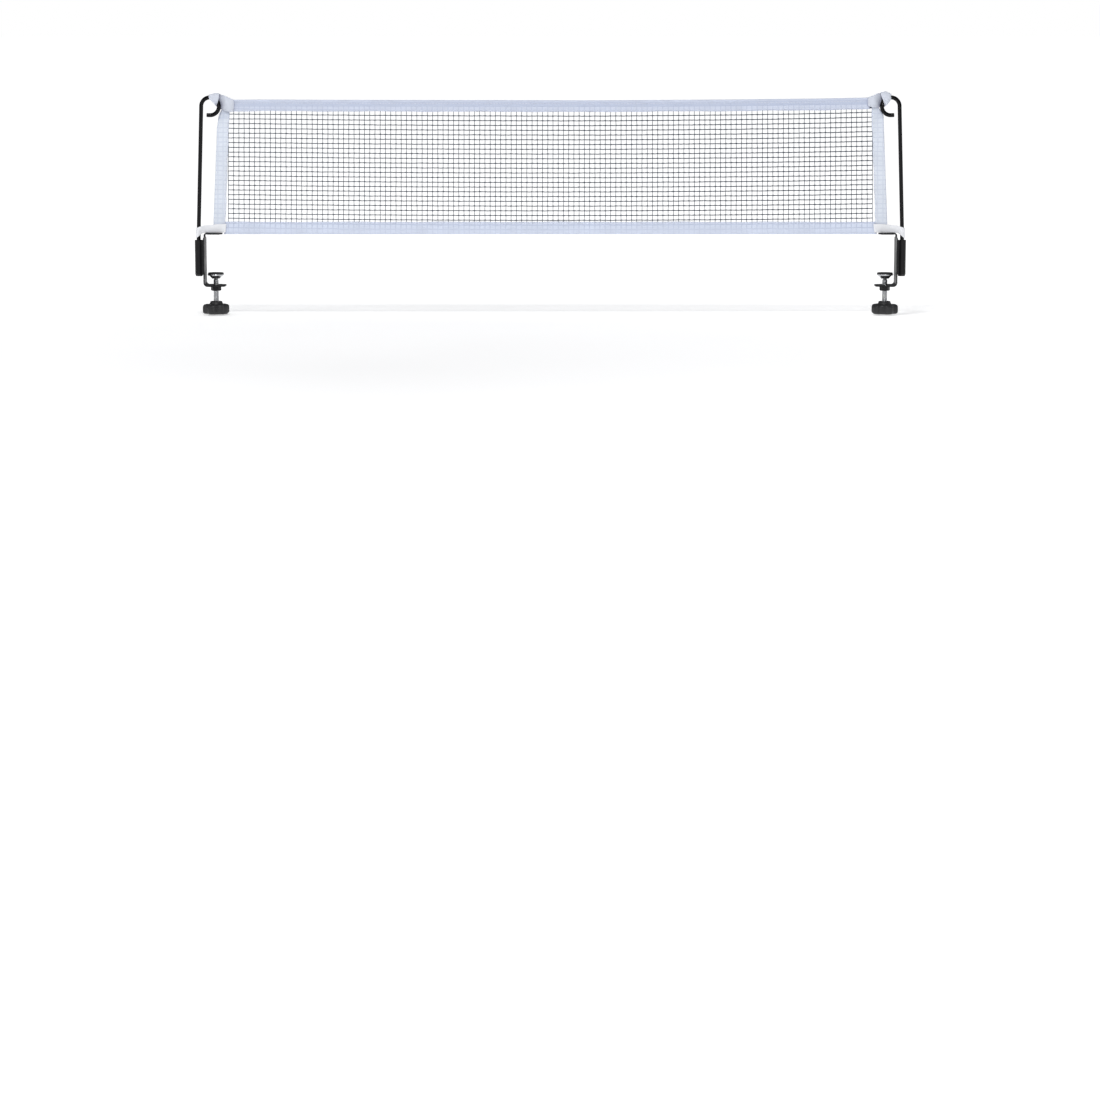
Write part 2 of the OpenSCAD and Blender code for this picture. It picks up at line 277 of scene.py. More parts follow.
def fillet(points, radii, steps=5, closed=False):
    """A polyline of 2-D points with its corners rounded."""
    pts = [np.array(p, float) for p in points]
    out = []
    n = len(pts)
    for k, p in enumerate(pts):
        r = radii[k] if hasattr(radii, "__len__") else radii
        if r <= 0 or (not closed and k in (0, n - 1)):
            out.append(p)
            continue
        a, b = pts[(k - 1) % n] - p, pts[(k + 1) % n] - p
        la, lb = np.linalg.norm(a), np.linalg.norm(b)
        a, b = a / la, b / lb
        ang = math.acos(max(-1, min(1, a @ b)))
        d = min(r / math.tan(ang / 2), la * 0.49, lb * 0.49)
        r2 = d * math.tan(ang / 2)
        c = p + (a + b) / np.linalg.norm(a + b) * (r2 / math.sin(ang / 2))
        s0, s1 = p + a * d - c, p + b * d - c
        a0, a1 = math.atan2(s0[1], s0[0]), math.atan2(s1[1], s1[0])
        da = (a1 - a0 + math.pi) % (2 * math.pi) - math.pi
        for f in np.linspace(0, 1, steps + 1):
            out.append(c + r2 * np.array([math.cos(a0 + da * f), math.sin(a0 + da * f)]))
    return np.array(out)


def finish_piece(ob, mat, body, stands_for=()):
    ob.data.materials.clear()
    ob.data.materials.append(mat)
    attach(ob, body)
    if stands_for:
        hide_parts(*stands_for)
    return ob


# ---------------------------------------------------------------- materials

class Mat:
    """A small helper round one node material."""

    def __init__(self, name, **values):
        self.mat = bpy.data.materials.new(name)
        self.mat.use_nodes = True
        self.nt = self.mat.node_tree
        self.bsdf = self.nt.nodes["Principled BSDF"]
        for k, v in values.items():
            self.bsdf.inputs[k.replace("_", " ")].default_value = v
        self.tc = None

    def new(self, kind, **props):
        n = self.nt.nodes.new("ShaderNode" + kind)
        for k, v in props.items():
            setattr(n, k, v)
        return n

    def put(self, value, socket):
        if isinstance(value, bpy.types.NodeSocket):
            self.nt.links.new(value, socket)
        elif value is not None:
            socket.default_value = value

    def coords(self):
        if self.tc is None:
            self.tc = self.new("TexCoord")
        return self.tc.outputs["Object"]

    def cloth(self):
        n = self.new("Attribute", attribute_name="cloth_uv")
        return n.outputs["Vector"]

    def xyz(self, vec=None):
        n = self.new("SeparateXYZ")
        self.put(vec or self.coords(), n.inputs[0])
        return n.outputs[0], n.outputs[1], n.outputs[2]

    def math(self, op, a, b=None, c=None, clamp=False):
        n = self.new("Math", operation=op, use_clamp=clamp)
        for v, s in zip((a, b, c), n.inputs):
            self.put(v, s)
        return n.outputs[0]

    def noise(self, scale, detail=3.0, rough=0.55, vec=None, stretch=None):
        v = vec or self.coords()
        if stretch:
            mp = self.new("Mapping")
            self.put(v, mp.inputs["Vector"])
            mp.inputs["Scale"].default_value = stretch
            v = mp.outputs[0]
        n = self.new("TexNoise")
        self.put(v, n.inputs["Vector"])
        n.inputs["Scale"].default_value = scale
        n.inputs["Detail"].default_value = detail
        n.inputs["Roughness"].default_value = rough
        return n.outputs["Fac"]

    def ramp(self, fac, stops):
        n = self.new("ValToRGB")
        self.put(fac, n.inputs[0])
        el = n.color_ramp.elements
        while len(el) < len(stops):
            el.new(0.5)
        for e, (p, c) in zip(el, stops):
            e.position = p
            e.color = (*c, 1) if hasattr(c, "__len__") else (c, c, c, 1)
        return n.outputs[0]

    def mix(self, fac, a, b):
        n = self.new("Mix", data_type="RGBA")
        self.put(fac, n.inputs[0])
        for v, s in ((a, n.inputs[6]), (b, n.inputs[7])):
            self.put((*v, 1) if isinstance(v, tuple) and len(v) == 3 else v, s)
        return n.outputs[2]

    def remap(self, v, lo, hi, to_lo=0.0, to_hi=1.0, smooth=True):
        n = self.new("MapRange", interpolation_type="SMOOTHSTEP" if smooth else "LINEAR")
        self.put(v, n.inputs[0])
        for k, x in zip((1, 2, 3, 4), (lo, hi, to_lo, to_hi)):
            n.inputs[k].default_value = x
        return n.outputs[0]

    def colour(self, v):
        self.put((*v, 1) if isinstance(v, tuple) and len(v) == 3 else v, self.bsdf.inputs["Base Color"])

    def rough(self, v):
        self.put(v, self.bsdf.inputs["Roughness"])

    def painted_crease_shade(self, col, dist, amount, tint):
        """Painted shade: darkens a colour where surfaces meet, from an ambient-occlusion node, standing in for the
        shadow between cloth folds.
        """
        n = self.new("AmbientOcclusion", samples=6)
        n.inputs["Distance"].default_value = dist
        dark = self.remap(n.outputs["AO"], 0.35, 0.95, amount, 0.0)
        return self.mix(dark, col, tint)

    def bump(self, *layers):
        """layers are (height, strength, distance in metres)"""
        last = None
        for h, strength, dist in layers:
            n = self.new("Bump")
            n.inputs["Strength"].default_value = strength
            n.inputs["Distance"].default_value = dist
            self.put(h, n.inputs["Height"])
            if last is not None:
                self.nt.links.new(last, n.inputs["Normal"])
            last = n.outputs[0]
        self.nt.links.new(last, self.bsdf.inputs["Normal"])


def weave(m, u, v, pitch):
    """Height of a plain weave, from which the cloth materials also paint shade into the low threads. u and v are
    lengths in metres, pitch the threads' spacing.
    """
    su, sv = m.math("DIVIDE", u, pitch), m.math("DIVIDE", v, pitch)
    fu, fv = m.math("FLOOR", su), m.math("FLOOR", sv)
    odd = m.math("MODULO", m.math("ABSOLUTE", m.math("ADD", fu, fv)), 2.0)
    hu = m.math("ABSOLUTE", m.math("SINE", m.math("MULTIPLY", su, math.pi)))
    hv = m.math("ABSOLUTE", m.math("SINE", m.math("MULTIPLY", sv, math.pi)))
    over = m.math("MULTIPLY", hu, m.math("ADD", m.math("MULTIPLY", hv, 0.45), 0.55))
    under = m.math("MULTIPLY", hv, m.math("ADD", m.math("MULTIPLY", hu, 0.45), 0.55))
    n = m.new("Mix", data_type="FLOAT")
    m.put(odd, n.inputs[0])
    m.put(over, n.inputs[2])
    m.put(under, n.inputs[3])
    return n.outputs[0]


NET_PITCH_X, NET_PITCH_Z, NET_Z0, NET_ROWS = 5.77, 5.215, 10.3, 25


def net_lines(m, x, z, wide):
    """A mask, 1 along the lines where the netting lies behind a tape."""
    # the upright cords fan out a little towards the bottom
    half = m.math("ADD", m.math("MULTIPLY", z, -0.0132), 0.3529)
    sx = m.math("ADD", m.math("MULTIPLY", m.math("DIVIDE", x, half), 61.0), 0.5)
    far = m.math("MULTIPLY", m.math("MULTIPLY", x, x), 0.0195)
    sz = m.math("DIVIDE", m.math("SUBTRACT", m.math("SUBTRACT", z, NET_Z0 * MM), far), NET_PITCH_Z * MM)
    dx = m.math("ABSOLUTE", m.math("SUBTRACT", m.math("FRACT", m.math("ADD", sx, 0.5)), 0.5))
    dz = m.math("ABSOLUTE", m.math("SUBTRACT", m.math("FRACT", m.math("ADD", sz, 0.5)), 0.5))
    lx = m.remap(dx, 0.02, wide, 0.8, 0.0)
    lz = m.remap(dz, 0.02, wide, 1.0, 0.0)
    return m.math("MAXIMUM", lx, lz)


def tape_material(name, where, tint):
    m = Mat(name, Roughness=0.82, Sheen_Weight=0.25, Sheen_Roughness=0.6, Specular_IOR_Level=0.25)
    x, y, z = m.xyz()
    # a slow wander keeps threads and painted lines from looking ruled
    wob = m.math("MULTIPLY", m.math("SUBTRACT", m.noise(55, 2.0), 0.5), 0.0012)
    xw, zw = m.math("ADD", x, wob), m.math("SUBTRACT", z, wob)
    u, v = (z, m.math("ADD", x, y)) if where == "side" else (x, m.math("ADD", z, y))
    h = weave(m, u, v, 0.00046)
    cloud = m.noise(38, 3.0)
    fine = m.noise(900, 2.0, stretch=(1, 1, 3) if where == "side" else (3, 1, 1))
    base = m.ramp(cloud, [(0.3, tuple(0.91 * t for t in tint)), (0.7, tint)])
    # painted shade: the weave's lower threads are darkened and tinted blue
    thread = m.ramp(h, [(0.0, (0.60, 0.64, 0.78)), (0.55, (1, 1, 1))])
    mul = m.new("Mix", data_type="RGBA", blend_type="MULTIPLY")
    mul.inputs[0].default_value = 0.34
    m.put(base, mul.inputs[6])
    m.put(thread, mul.inputs[7])
    col = mul.outputs[2]
    lines = net_lines(m, xw, zw, 0.17)
    if where == "top":
        # netting shows only under the seam, where it lies between the layers
        zt = m.math("SUBTRACT", z, m.remap(x, 0.12, 0.37, 0.0, 0.0027))
        low = m.remap(zt, 0.1415, 0.1395)
        # painted shade: a darker band across the top tape, below its rounded top edge
        painted_seam_shade = m.math("MULTIPLY", m.remap(zt, 0.1392, 0.1408), m.remap(zt, 0.1466, 0.1436))
        shade = m.math("ADD", m.math("MULTIPLY", m.math("MULTIPLY", lines, low), 0.5), m.math("MULTIPLY", painted_seam_shade, 0.42))
    elif where == "bottom":
        shade = m.math("MULTIPLY", lines, m.remap(z, 0.0045, 0.0095, 0.25, 0.6))
    else:
        # the gathered top end sits in the shade of the ribbon
        end = m.math("MULTIPLY", m.remap(m.math("ADD", z, m.math("MULTIPLY", m.math("ABSOLUTE", x), 0.35)), 0.2500, 0.2545), m.remap(x, -0.1, 0.1, 0.34, 0.16))
        shade = m.math("ADD", m.math("MULTIPLY", lines, 0.28), end)
    shade = m.math("MULTIPLY", shade, m.remap(cloud, 0.25, 0.75, 0.7, 1.15))
    # painted shade: the tape colour is darkened where surfaces meet
    m.colour(m.painted_crease_shade(m.mix(shade, col, (0.40, 0.46, 0.62)), 0.005, 0.55, (0.30, 0.32, 0.46)))
    m.rough(m.remap(fine, 0.3, 0.7, 0.74, 0.9))
    m.bump((lines, 0.35, 0.00025), (h, 0.5, 0.00012), (fine, 0.25, 0.00006))
    return m.mat


def ribbon_material(name, tint, painted_crease_shade):
    m = Mat(name, Roughness=0.7, Sheen_Weight=0.3, Sheen_Roughness=0.5, Specular_IOR_Level=0.3)
    u, v, _ = m.xyz(m.cloth())
    h = weave(m, u, v, 0.0004)
    ribs = m.math("ABSOLUTE", m.math("SINE", m.math("MULTIPLY", u, math.pi / 0.0009)))
    cloud = m.noise(60, 3.0)
    edge = m.noise(700, 2.0)
    a, b = tuple(t * 0.93 for t in tint), tint
    base = m.ramp(cloud, [(0.3, a), (0.7, b)])
    # painted shade: the weave's lower threads are darkened
    thread = m.ramp(h, [(0.0, (0.70, 0.71, 0.78)), (0.5, (1, 1, 1))])
    mul = m.new("Mix", data_type="RGBA", blend_type="MULTIPLY")
    mul.inputs[0].default_value = 0.3
    m.put(base, mul.inputs[6])
    m.put(thread, mul.inputs[7])
    # painted shade: the ribbon colour is darkened where surfaces meet
    m.colour(m.painted_crease_shade(mul.outputs[2], 0.006, painted_crease_shade, (0.26, 0.27, 0.38)))
    m.rough(m.remap(edge, 0.3, 0.7, 0.62, 0.8))
    m.bump((ribs, 0.18, 0.00008), (h, 0.45, 0.0001), (edge, 0.2, 0.00005))
    return m.mat


def netting_material(name):
    m = Mat(name, Roughness=0.62, Specular_IOR_Level=0.4, Sheen_Weight=0.12, Sheen_Roughness=0.5)
    x, y, z = m.xyz()
    along = m.math("ADD", x, z)
    twist = m.math("SINE", m.math("MULTIPLY", m.math("ADD", along, m.math("MULTIPLY", y, 1.6)), 2 * math.pi / 0.0011))
    fibre = m.noise(1600, 3.0)
    cloud = m.noise(28, 2.0)
    base = m.ramp(cloud, [(0.3, (0.018, 0.032, 0.052)), (0.7, (0.032, 0.050, 0.078))])
    # painted highlight: the ridges of the twisted cord are lightened
    painted_ply_highlight = m.math("MULTIPLY", m.remap(twist, -0.4, 0.9), m.remap(fibre, 0.35, 0.7, 0.3, 1.0))
    m.colour(m.mix(m.math("MULTIPLY", painted_ply_highlight, 0.45), base, (0.075, 0.105, 0.15)))
    m.rough(m.remap(fibre, 0.3, 0.7, 0.5, 0.72))
    m.bump((twist, 0.5, 0.00008), (fibre, 0.3, 0.00004))
    return m.mat


def thread_material(name):
    m = Mat(name, Roughness=0.55, Sheen_Weight=0.2, Specular_IOR_Level=0.35)
    x, y, z = m.xyz()
    ply = m.math("SINE", m.math("MULTIPLY", m.math("ADD", m.math("ADD", x, z), y), 2 * math.pi / 0.0005))
    cloud = m.noise(300, 2.0)
    base = m.ramp(cloud, [(0.3, (0.80, 0.82, 0.88)), (0.7, (0.87, 0.88, 0.93))])
    # painted shade: the grooves between the thread's plies are darkened
    m.colour(m.mix(m.remap(ply, -1, 0.2, 0.22, 0.0), base, (0.52, 0.55, 0.65)))
    m.bump((ply, 0.4, 0.00005))
    return m.mat


def cord_material(name):
    m = Mat(name, Roughness=0.75, Sheen_Weight=0.2, Specular_IOR_Level=0.25)
    fibre = m.noise(1100, 3.0, stretch=(0.35, 1, 1))
    cloud = m.noise(90, 2.0)
    base = m.ramp(cloud, [(0.3, (0.74, 0.74, 0.72)), (0.7, (0.82, 0.82, 0.80))])
    m.colour(m.mix(m.remap(fibre, 0.35, 0.6, 0.35, 0.0), base, (0.5, 0.5, 0.49)))
    m.bump((fibre, 0.5, 0.0001))
    return m.mat


def wire_paint(name):
    m = Mat(name, Metallic=0.0, Specular_IOR_Level=0.05, Coat_Weight=0.32, Coat_Roughness=0.10, Coat_IOR=1.45)
    peel = m.noise(420, 2.0, 0.5)
    drag = m.noise(160, 3.0, stretch=(1, 1, 0.12))
    dust = m.noise(70, 4.0)
    m.colour(m.ramp(dust, [(0.35, (0.0022, 0.0022, 0.003)), (0.75, (0.0045, 0.0045, 0.0055))]))
    m.rough(m.remap(m.math("ADD", m.math("MULTIPLY", drag, 0.7), m.math("MULTIPLY", dust, 0.3)), 0.3, 0.7, 0.13, 0.20))
    m.bump((peel, 0.12, 0.00012), (drag, 0.08, 0.0001))
    return m.mat


def powder_coat(name):
    m = Mat(name, Metallic=0.0, Specular_IOR_Level=0.22)
    peel = m.noise(950, 2.0, 0.5)
    big = m.noise(210, 2.0)
    dust = m.noise(45, 4.0)
    rub = m.noise(130, 4.0, 0.6, stretch=(1, 1, 0.35))
    scuff = m.remap(rub, 0.60, 0.74)
    base = m.ramp(dust, [(0.35, (0.007, 0.007, 0.008)), (0.75, (0.013, 0.013, 0.0145))])
    m.colour(m.mix(m.math("MULTIPLY", scuff, 0.4), base, (0.035, 0.035, 0.037)))
    m.rough(m.remap(m.math("ADD", m.math("MULTIPLY", dust, 0.6), m.math("MULTIPLY", rub, 0.4)), 0.3, 0.7, 0.34, 0.5))
    m.bump((big, 0.12, 0.0002), (peel, 0.3, 0.00012))
    return m.mat


def felt(name):
    m = Mat(name, Roughness=0.95, Sheen_Weight=0.5, Sheen_Roughness=0.4, Specular_IOR_Level=0.15)
    hair = m.noise(2200, 4.0, 0.7, stretch=(1, 0.6, 1))
    clump = m.noise(420, 3.0)
    m.colour(m.mix(m.remap(hair, 0.35, 0.65), (0.017, 0.017, 0.019), (0.075, 0.075, 0.08)))
    m.bump((clump, 0.5, 0.0002), (hair, 0.8, 0.00015))
    return m.mat


def plastic(name, dark, pale, rough_lo, rough_hi, grain, strength):
    m = Mat(name, Specular_IOR_Level=0.5)
    tex = m.noise(grain, 3.0, 0.6)
    cloud = m.noise(60, 3.0)
    flow = m.noise(120, 2.0, stretch=(1, 1, 0.3))
    m.colour(m.ramp(cloud, [(0.3, dark), (0.75, pale)]))
    m.rough(m.remap(m.math("ADD", m.math("MULTIPLY", tex, 0.5), m.math("MULTIPLY", flow, 0.5)), 0.3, 0.7, rough_lo, rough_hi))
    m.bump((flow, 0.06, 0.0002), (tex, strength, 0.00012))
    return m.mat


def zinc(name, around=None):
    m = Mat(name, Metallic=1.0)
    spangle = m.noise(240, 3.0, 0.6)
    brush = m.noise(700, 2.0, stretch=(1, 1, 9))
    stain = m.noise(70, 4.0, 0.65)
    base = m.ramp(stain, [(0.3, (0.60, 0.61, 0.63)), (0.55, (0.70, 0.71, 0.72)), (0.8, (0.74, 0.73, 0.68))])
    geo = m.new("NewGeometry")
    low = m.remap(geo.outputs["Pointiness"], 0.42, 0.485, 0.5, 0.0)
    m.colour(m.mix(low, base, (0.22, 0.21, 0.20)))
    m.rough(m.remap(m.math("ADD", m.math("MULTIPLY", spangle, 0.5), m.math("MULTIPLY", stain, 0.5)), 0.3, 0.7, 0.24, 0.42))
    m.bump((brush, 0.12, 0.00008), (spangle, 0.08, 0.0001))
    return m.mat


def rubber(name):
    m = Mat(name, Specular_IOR_Level=0.35)
    fine = m.noise(1300, 3.0, 0.6)
    cloud = m.noise(80, 4.0)
    m.colour(m.ramp(cloud, [(0.3, (0.016, 0.016, 0.017)), (0.75, (0.036, 0.036, 0.038))]))
    m.rough(m.remap(cloud, 0.3, 0.7, 0.68, 0.86))
    m.bump((fine, 0.35, 0.0001))
    return m.mat


def bead_material(name):
    """Painted weld bead: the paint follows its ripples."""
    m = Mat(name, Specular_IOR_Level=0.5)
    ripple = m.noise(900, 3.0, 0.6)
    cloud = m.noise(120, 3.0)
    m.colour(m.ramp(cloud, [(0.3, (0.012, 0.012, 0.013)), (0.75, (0.024, 0.024, 0.026))]))
    m.rough(m.remap(cloud, 0.3, 0.7, 0.34, 0.5))
    m.bump((ripple, 0.35, 0.0002))
    return m.mat


# the same white tape cloth in three tints, darkest on the top tape and palest on the end tapes: the differences are
# painted shade and light over the cloth's own pale blue
M_TOP = tape_material("tape_top", "top", (0.67, 0.72, 0.85))
M_BOTTOM = tape_material("tape_bottom", "bottom", (0.73, 0.79, 0.93))
M_SIDE = tape_material("tape_side", "side", (0.79, 0.84, 0.925))
# the ties and the straps are one white ribbon: the ties get a darker tint and strong crease shade, the straps a paler
# tint and little crease shade, which is painted shade and light
M_RIBBON = ribbon_material("ribbon", (0.68, 0.715, 0.80), 0.95)
M_STRAP = ribbon_material("strap", (0.94, 0.95, 0.98), 0.1)
M_NET = netting_material("netting")
M_THREAD = thread_material("sewing_thread")
M_CORD = cord_material("hem_cord_fibre")
M_WIRE = wire_paint("post_paint")
M_POWDER = powder_coat("clamp_paint")
M_BEAD = bead_material("painted_weld")
M_FELT = felt("pad_felt")
M_PLUG = plastic("plug_plastic", (0.018, 0.018, 0.019), (0.034, 0.034, 0.036), 0.45, 0.6, 700, 0.2)
M_KNOB = plastic("knob_plastic", (0.012, 0.012, 0.013), (0.024, 0.024, 0.026), 0.42, 0.58, 1300, 0.4)
M_CAP = plastic("cap_plastic", (0.012, 0.012, 0.013), (0.02, 0.02, 0.022), 0.16, 0.3, 500, 0.08)
M_ZINC = zinc("zinc_steel")
M_RUBBER = rubber("pad_rubber")

# ---------------------------------------------------------------- netting

NET = "net_and_posts"
COLS = 122                       # cells across, between the end tapes
TOP_HALF, BOTTOM_HALF = 350.95, 352.9


def net_point(s, z):
    """A point of the netting: s from -1 to 1 across, z the nominal height."""
    s, z = np.broadcast_arrays(np.asarray(s, float), np.asarray(z, float))
    half = BOTTOM_HALF + (TOP_HALF - BOTTOM_HALF) * z / NET_H
    x = s * half
    # the rows rise towards both ends, most at the foot of the net
    return x, z + lift(x, z) + 2.4 * s * s * (1 - 0.35 * z / NET_H)


def wander(a, b, seed, amp):
    return amp * (np.sin(a * 1.7 + b * 2.3 + seed) * 0.5 + np.sin(a * 0.63 - b * 1.13 + seed * 2.1) * 0.35
                  + np.sin(a * 4.1 + b * 0.7 + seed * 3.7) * 0.25)


def cords(name, across):
    r0, r1 = -1, NET_ROWS + 1    # one more row under each tape
    lines = range(r0, r1) if across else range(-COLS // 2 - 1, COLS // 2 + 1)
    sub = [0.0, 0.14, 0.5, 0.86]
    sides = 6
    pile = Pile()
    for k in lines:
        if across:
            cells = np.arange(-COLS // 2 - 1, COLS // 2)
        else:
            cells = np.arange(r0, r1 - 1)
        t = (cells[:, None] + np.array(sub)[None, :]).ravel()
        t = np.append(t, cells[-1] + 1.0)
        f = t - np.floor(t)
        knot = np.exp(-((np.minimum(f, 1 - f)) / 0.13) ** 2)
        n = np.round(t)
        if across:
            col, row = t, np.full_like(t, k)
            s = (col + 0.5) / (COLS / 2)
            zn = NET_Z0 + NET_PITCH_Z * row
            dz = wander(col, row * 1.9, 0.4, 0.16) - 0.10 * np.sin(f * math.pi)
            dx = np.zeros_like(t)
            base, over = 0.49, 1.0
        else:
            col, row = np.full_like(t, k), t
            s = (col + 0.5) / (COLS / 2)
            zn = NET_Z0 + NET_PITCH_Z * row
            dx = wander(col * 1.9, row, 2.2, 0.2)
            dz = np.zeros_like(t)
            base, over = 0.345, -1.0
        # at a crossing both cords move together, so the knots stay knots
        kc, kr = np.round(col), np.round(row)
        jx, jz = wander(kc * 2.7, kr * 3.1, 5.0, 0.24), wander(kc * 3.3, kr * 2.2, 8.0, 0.2)
        x, z = net_point(s, np.clip(zn, 2.2, 144.6))
        x = x + dx * (1 - knot) + jx * knot
        z = z + dz * (1 - knot) + jz * knot
        parity = np.where((kc + kr) % 2 == 0, 1.0, -1.0)
        y = billow(x, z) + over * (0.16 + 0.07 * parity) * knot
        path = np.stack([x, y, z], 1)
        if across:
            tape = np.clip((np.abs(x) - 352) / 6, 0, 1)
        else:
            tape = np.zeros_like(x)
        r = base * (1 + 0.30 * knot) * (1 + 0.1 * np.sin(t * 5.3 + k * 1.7)) * (1 - 0.2 * tape)
        v, q, tr = tube_mesh(path, r, sides, start=(0, 1, 0))
        pile.add(v, q, tr)
    ob = pile.make(name, fix_normals=False)
    return ob


net_across = finish_piece(cords("net_cords_across", True), M_NET, NET, ["net_mesh"])
net_up = finish_piece(cords("net_cords_upright", False), M_NET, NET, ["net_mesh"])

# ---------------------------------------------------------------- tapes

SEAM_X = 351.0                   # the top tape ends under the ribbons


def folded_profile(points, th, n):
    """Closed outline of a folded cloth from its middle line in 2-D."""
    c = spline(points, n)
    t = np.gradient(c, axis=0)
    t /= np.linalg.norm(t, axis=1)[:, None]
    nrm = np.stack([-t[:, 1], t[:, 0]], 1)
    a, b = c + nrm * th / 2, c - nrm * th / 2
    return np.vstack([a, b[::-1]])


def loft(name, rings, cap=True):
    """rings[n, m, 3] closed outlines along a path."""
    n, m = rings.shape[:2]
    v = rings.reshape(-1, 3)
    q = grid_quads(n, m, close_v=True)
    if cap:
        # an end's outline folds back on itself: point j faces point m - 1 - j
        h = m // 2
        j = np.arange(h - 1)
        e0 = np.stack([j, j + 1, m - 2 - j, m - 1 - j], -1)
        e1 = e0[:, ::-1] + (n - 1) * m
        q = np.vstack([q, e0, e1])
    return make(name, v, q)


# the middle line of the cloth, front half; y is out of the net's plane, d the depth below the top edge
front = [(0, 0.2), (-0.62, 0.42), (-1.12, 0.98), (-1.22, 1.7), (-1.02, 2.5), (-0.78, 3.3), (-0.68, 3.95), (-0.76, 4.9),
         (-0.88, 7.5), (-0.90, 10.2), (-0.86, 11.6), (-0.86, TAPE_VIS)]
middle = [(-y, d) for y, d in front[::-1]] + front[1:]
prof = folded_profile(middle, 0.34, 46)
xs = np.linspace(-SEAM_X, SEAM_X, 290)
rings = np.zeros((len(xs), len(prof), 3))
for i, x in enumerate(xs):
    d, y = prof[:, 1], prof[:, 0]
    low = np.clip(d / TAPE_VIS, 0, 1)
    pucker = 0.09 * np.sin(x * 2 * math.pi / 6.4) * np.exp(-((d - 11.6) / 1.2) ** 2) \
        + 0.07 * np.sin(x * 2 * math.pi / 6.4 + 1.4) * np.exp(-((d - 3.95) / 0.8) ** 2)
    z = top_edge(x) - d + low ** 3 * (0.22 * math.sin(x / 17) + 0.16 * math.sin(x / 6.3 + 1))
    loose = low ** 2 * 0.16 * (1 + math.sin(x / 13.7 + 0.6) + 0.6 * math.sin(x / 5.1))
    yy = y * (1 + 0.05 * math.sin(x / 31)) + np.sign(y) * (pucker + loose * 0.6)
    rings[i] = np.stack([np.full_like(z, x), yy + billow(x, z), z], 1)
top_tape = finish_piece(loft("top_tape_cloth", rings), M_TOP, NET, ["top_tape"])

# bottom tape: the fold is underneath
bf = [(0, 0.2), (-0.42, 0.28), (-0.70, 0.62), (-0.80, 1.3), (-0.84, 3.0), (-0.82, 6.0), (-0.80, 9.5), (-0.78, BOTTOM_VIS)]
bm_line = [(-y, z) for y, z in bf[::-1]] + bf[1:]
bprof = folded_profile(bm_line, 0.34, 40)
xs = np.linspace(-360.6, 360.6, 290)
rings = np.zeros((len(xs), len(bprof), 3))
for i, x in enumerate(xs):
    z, y = bprof[:, 1], bprof[:, 0]
    up = np.clip(z / BOTTOM_VIS, 0, 1)
    pucker = 0.08 * np.sin(x * 2 * math.pi / 6.4 + 2) * np.exp(-((z - 12.5) / 1.2) ** 2)
    loose = up ** 2 * 0.14 * (1 + math.sin(x / 11.9 + 2.2) + 0.6 * math.sin(x / 4.7)) * (1 - np.clip((abs(x) - 350) / 8, 0, 1))
    zz = z + up ** 3 * (0.2 * math.sin(x / 19 + 1) + 0.14 * math.sin(x / 7.1))
    rings[i] = np.stack([np.full_like(z, x), y + np.sign(y) * (pucker + loose * 0.6) + billow(x, z), zz], 1)
bottom_tape = finish_piece(loft("bottom_tape_cloth", rings), M_BOTTOM, NET, ["bottom_tape"])


def corner_pull(k, z):
    """How far the end tape's outer edge is drawn in near the top corner."""
    if k < 0:
        return 0.9 * np.clip((z - 116) / 8, 0, 1) ** 1.5 + 2.9 * np.clip((z - 125) / 10.5, 0, 1.4) ** 1.8
    return 7.6 * np.clip((z - 127.5) / 13, 0, 1) ** 1.25


def side_section(k, z):
    """Middle line of an end tape's cross-section at height z: out along the front, round the fold and back."""
    out = net_half(z) - float(corner_pull(k, z))
    inner = net_half(z) - SIDE_W + (0.25 * math.sin(z / 5.3 + k) + 0.15 * math.sin(z / 2.1))
    s = min(1.0, max(0.0, z / 133.0))
    hw = 1.14 - 0.50 * s
    hw = min(hw, 1.14)
    w = out - inner
    pts = [(inner, -hw * 0.97), (inner + w * 0.3, -hw), (inner + w * 0.65, -hw * 0.98), (out - 1.3, -hw * 0.9),
           (out - 0.42, -hw * 0.66), (out - 0.17, 0)]
    pts = pts + [(x, -y) for x, y in pts[-2::-1]]
    return pts


def side_tape(k, name):
    zs = np.linspace(2.15, 139.0, 96)
    rings = []
    for z in zs:
        pr = folded_profile(side_section(k, z), 0.3, 34)
        x, y = pr[:, 0], pr[:, 1]
        wave = 0.10 * math.sin(z / 8.5 + 1.1 * k) + 0.06 * math.sin(z / 3.3)
        pucker = 0.07 * math.sin(z * 2 * math.pi / 6.4) * np.exp(-((x - (net_half(z) - SIDE_W + 1.4)) / 1.2) ** 2)
        yy = y + np.sign(y) * pucker + wave * np.clip((net_half(z) - x) / 4, 0, 1) * 0.5
        zz = np.full_like(x, z) + lift(k * x, z)
        rings.append(np.stack([k * x, yy, zz], 1))
    return loft(name, np.array(rings))


left_side = finish_piece(side_tape(-1, "left_side_tape_cloth"), M_SIDE, NET, ["left_side_tape"])
right_side = finish_piece(side_tape(1, "right_side_tape_cloth"), M_SIDE, NET, ["right_side_tape"])

# ---------------------------------------------------------------- stitches

def stitch(p0, p1, out, r=0.17, dip=0.22, rise=0.10):
    """One stitch lying on a cloth from p0 to p1; out is the cloth's outward direction."""
    f = np.array([0.0, 0.12, 0.5, 0.88, 1.0])
    h = np.array([-dip, rise * 0.7, rise, rise * 0.7, -dip])
    path = p0[None] + (p1 - p0)[None] * f[:, None] + out[None] * h[:, None]
    return tube_mesh(path, r * np.array([0.8, 1.05, 0.92, 1.05, 0.8]), 5, start=out)


def surface_y(sections, coord, value):
    """Outer |y| of a folded cloth outline at a coordinate."""
    p = sections
    m = p[:, 0] < 0
    order = np.argsort(p[m, 1])
    return np.interp(value, p[m, 1][order], p[m, 0][order])


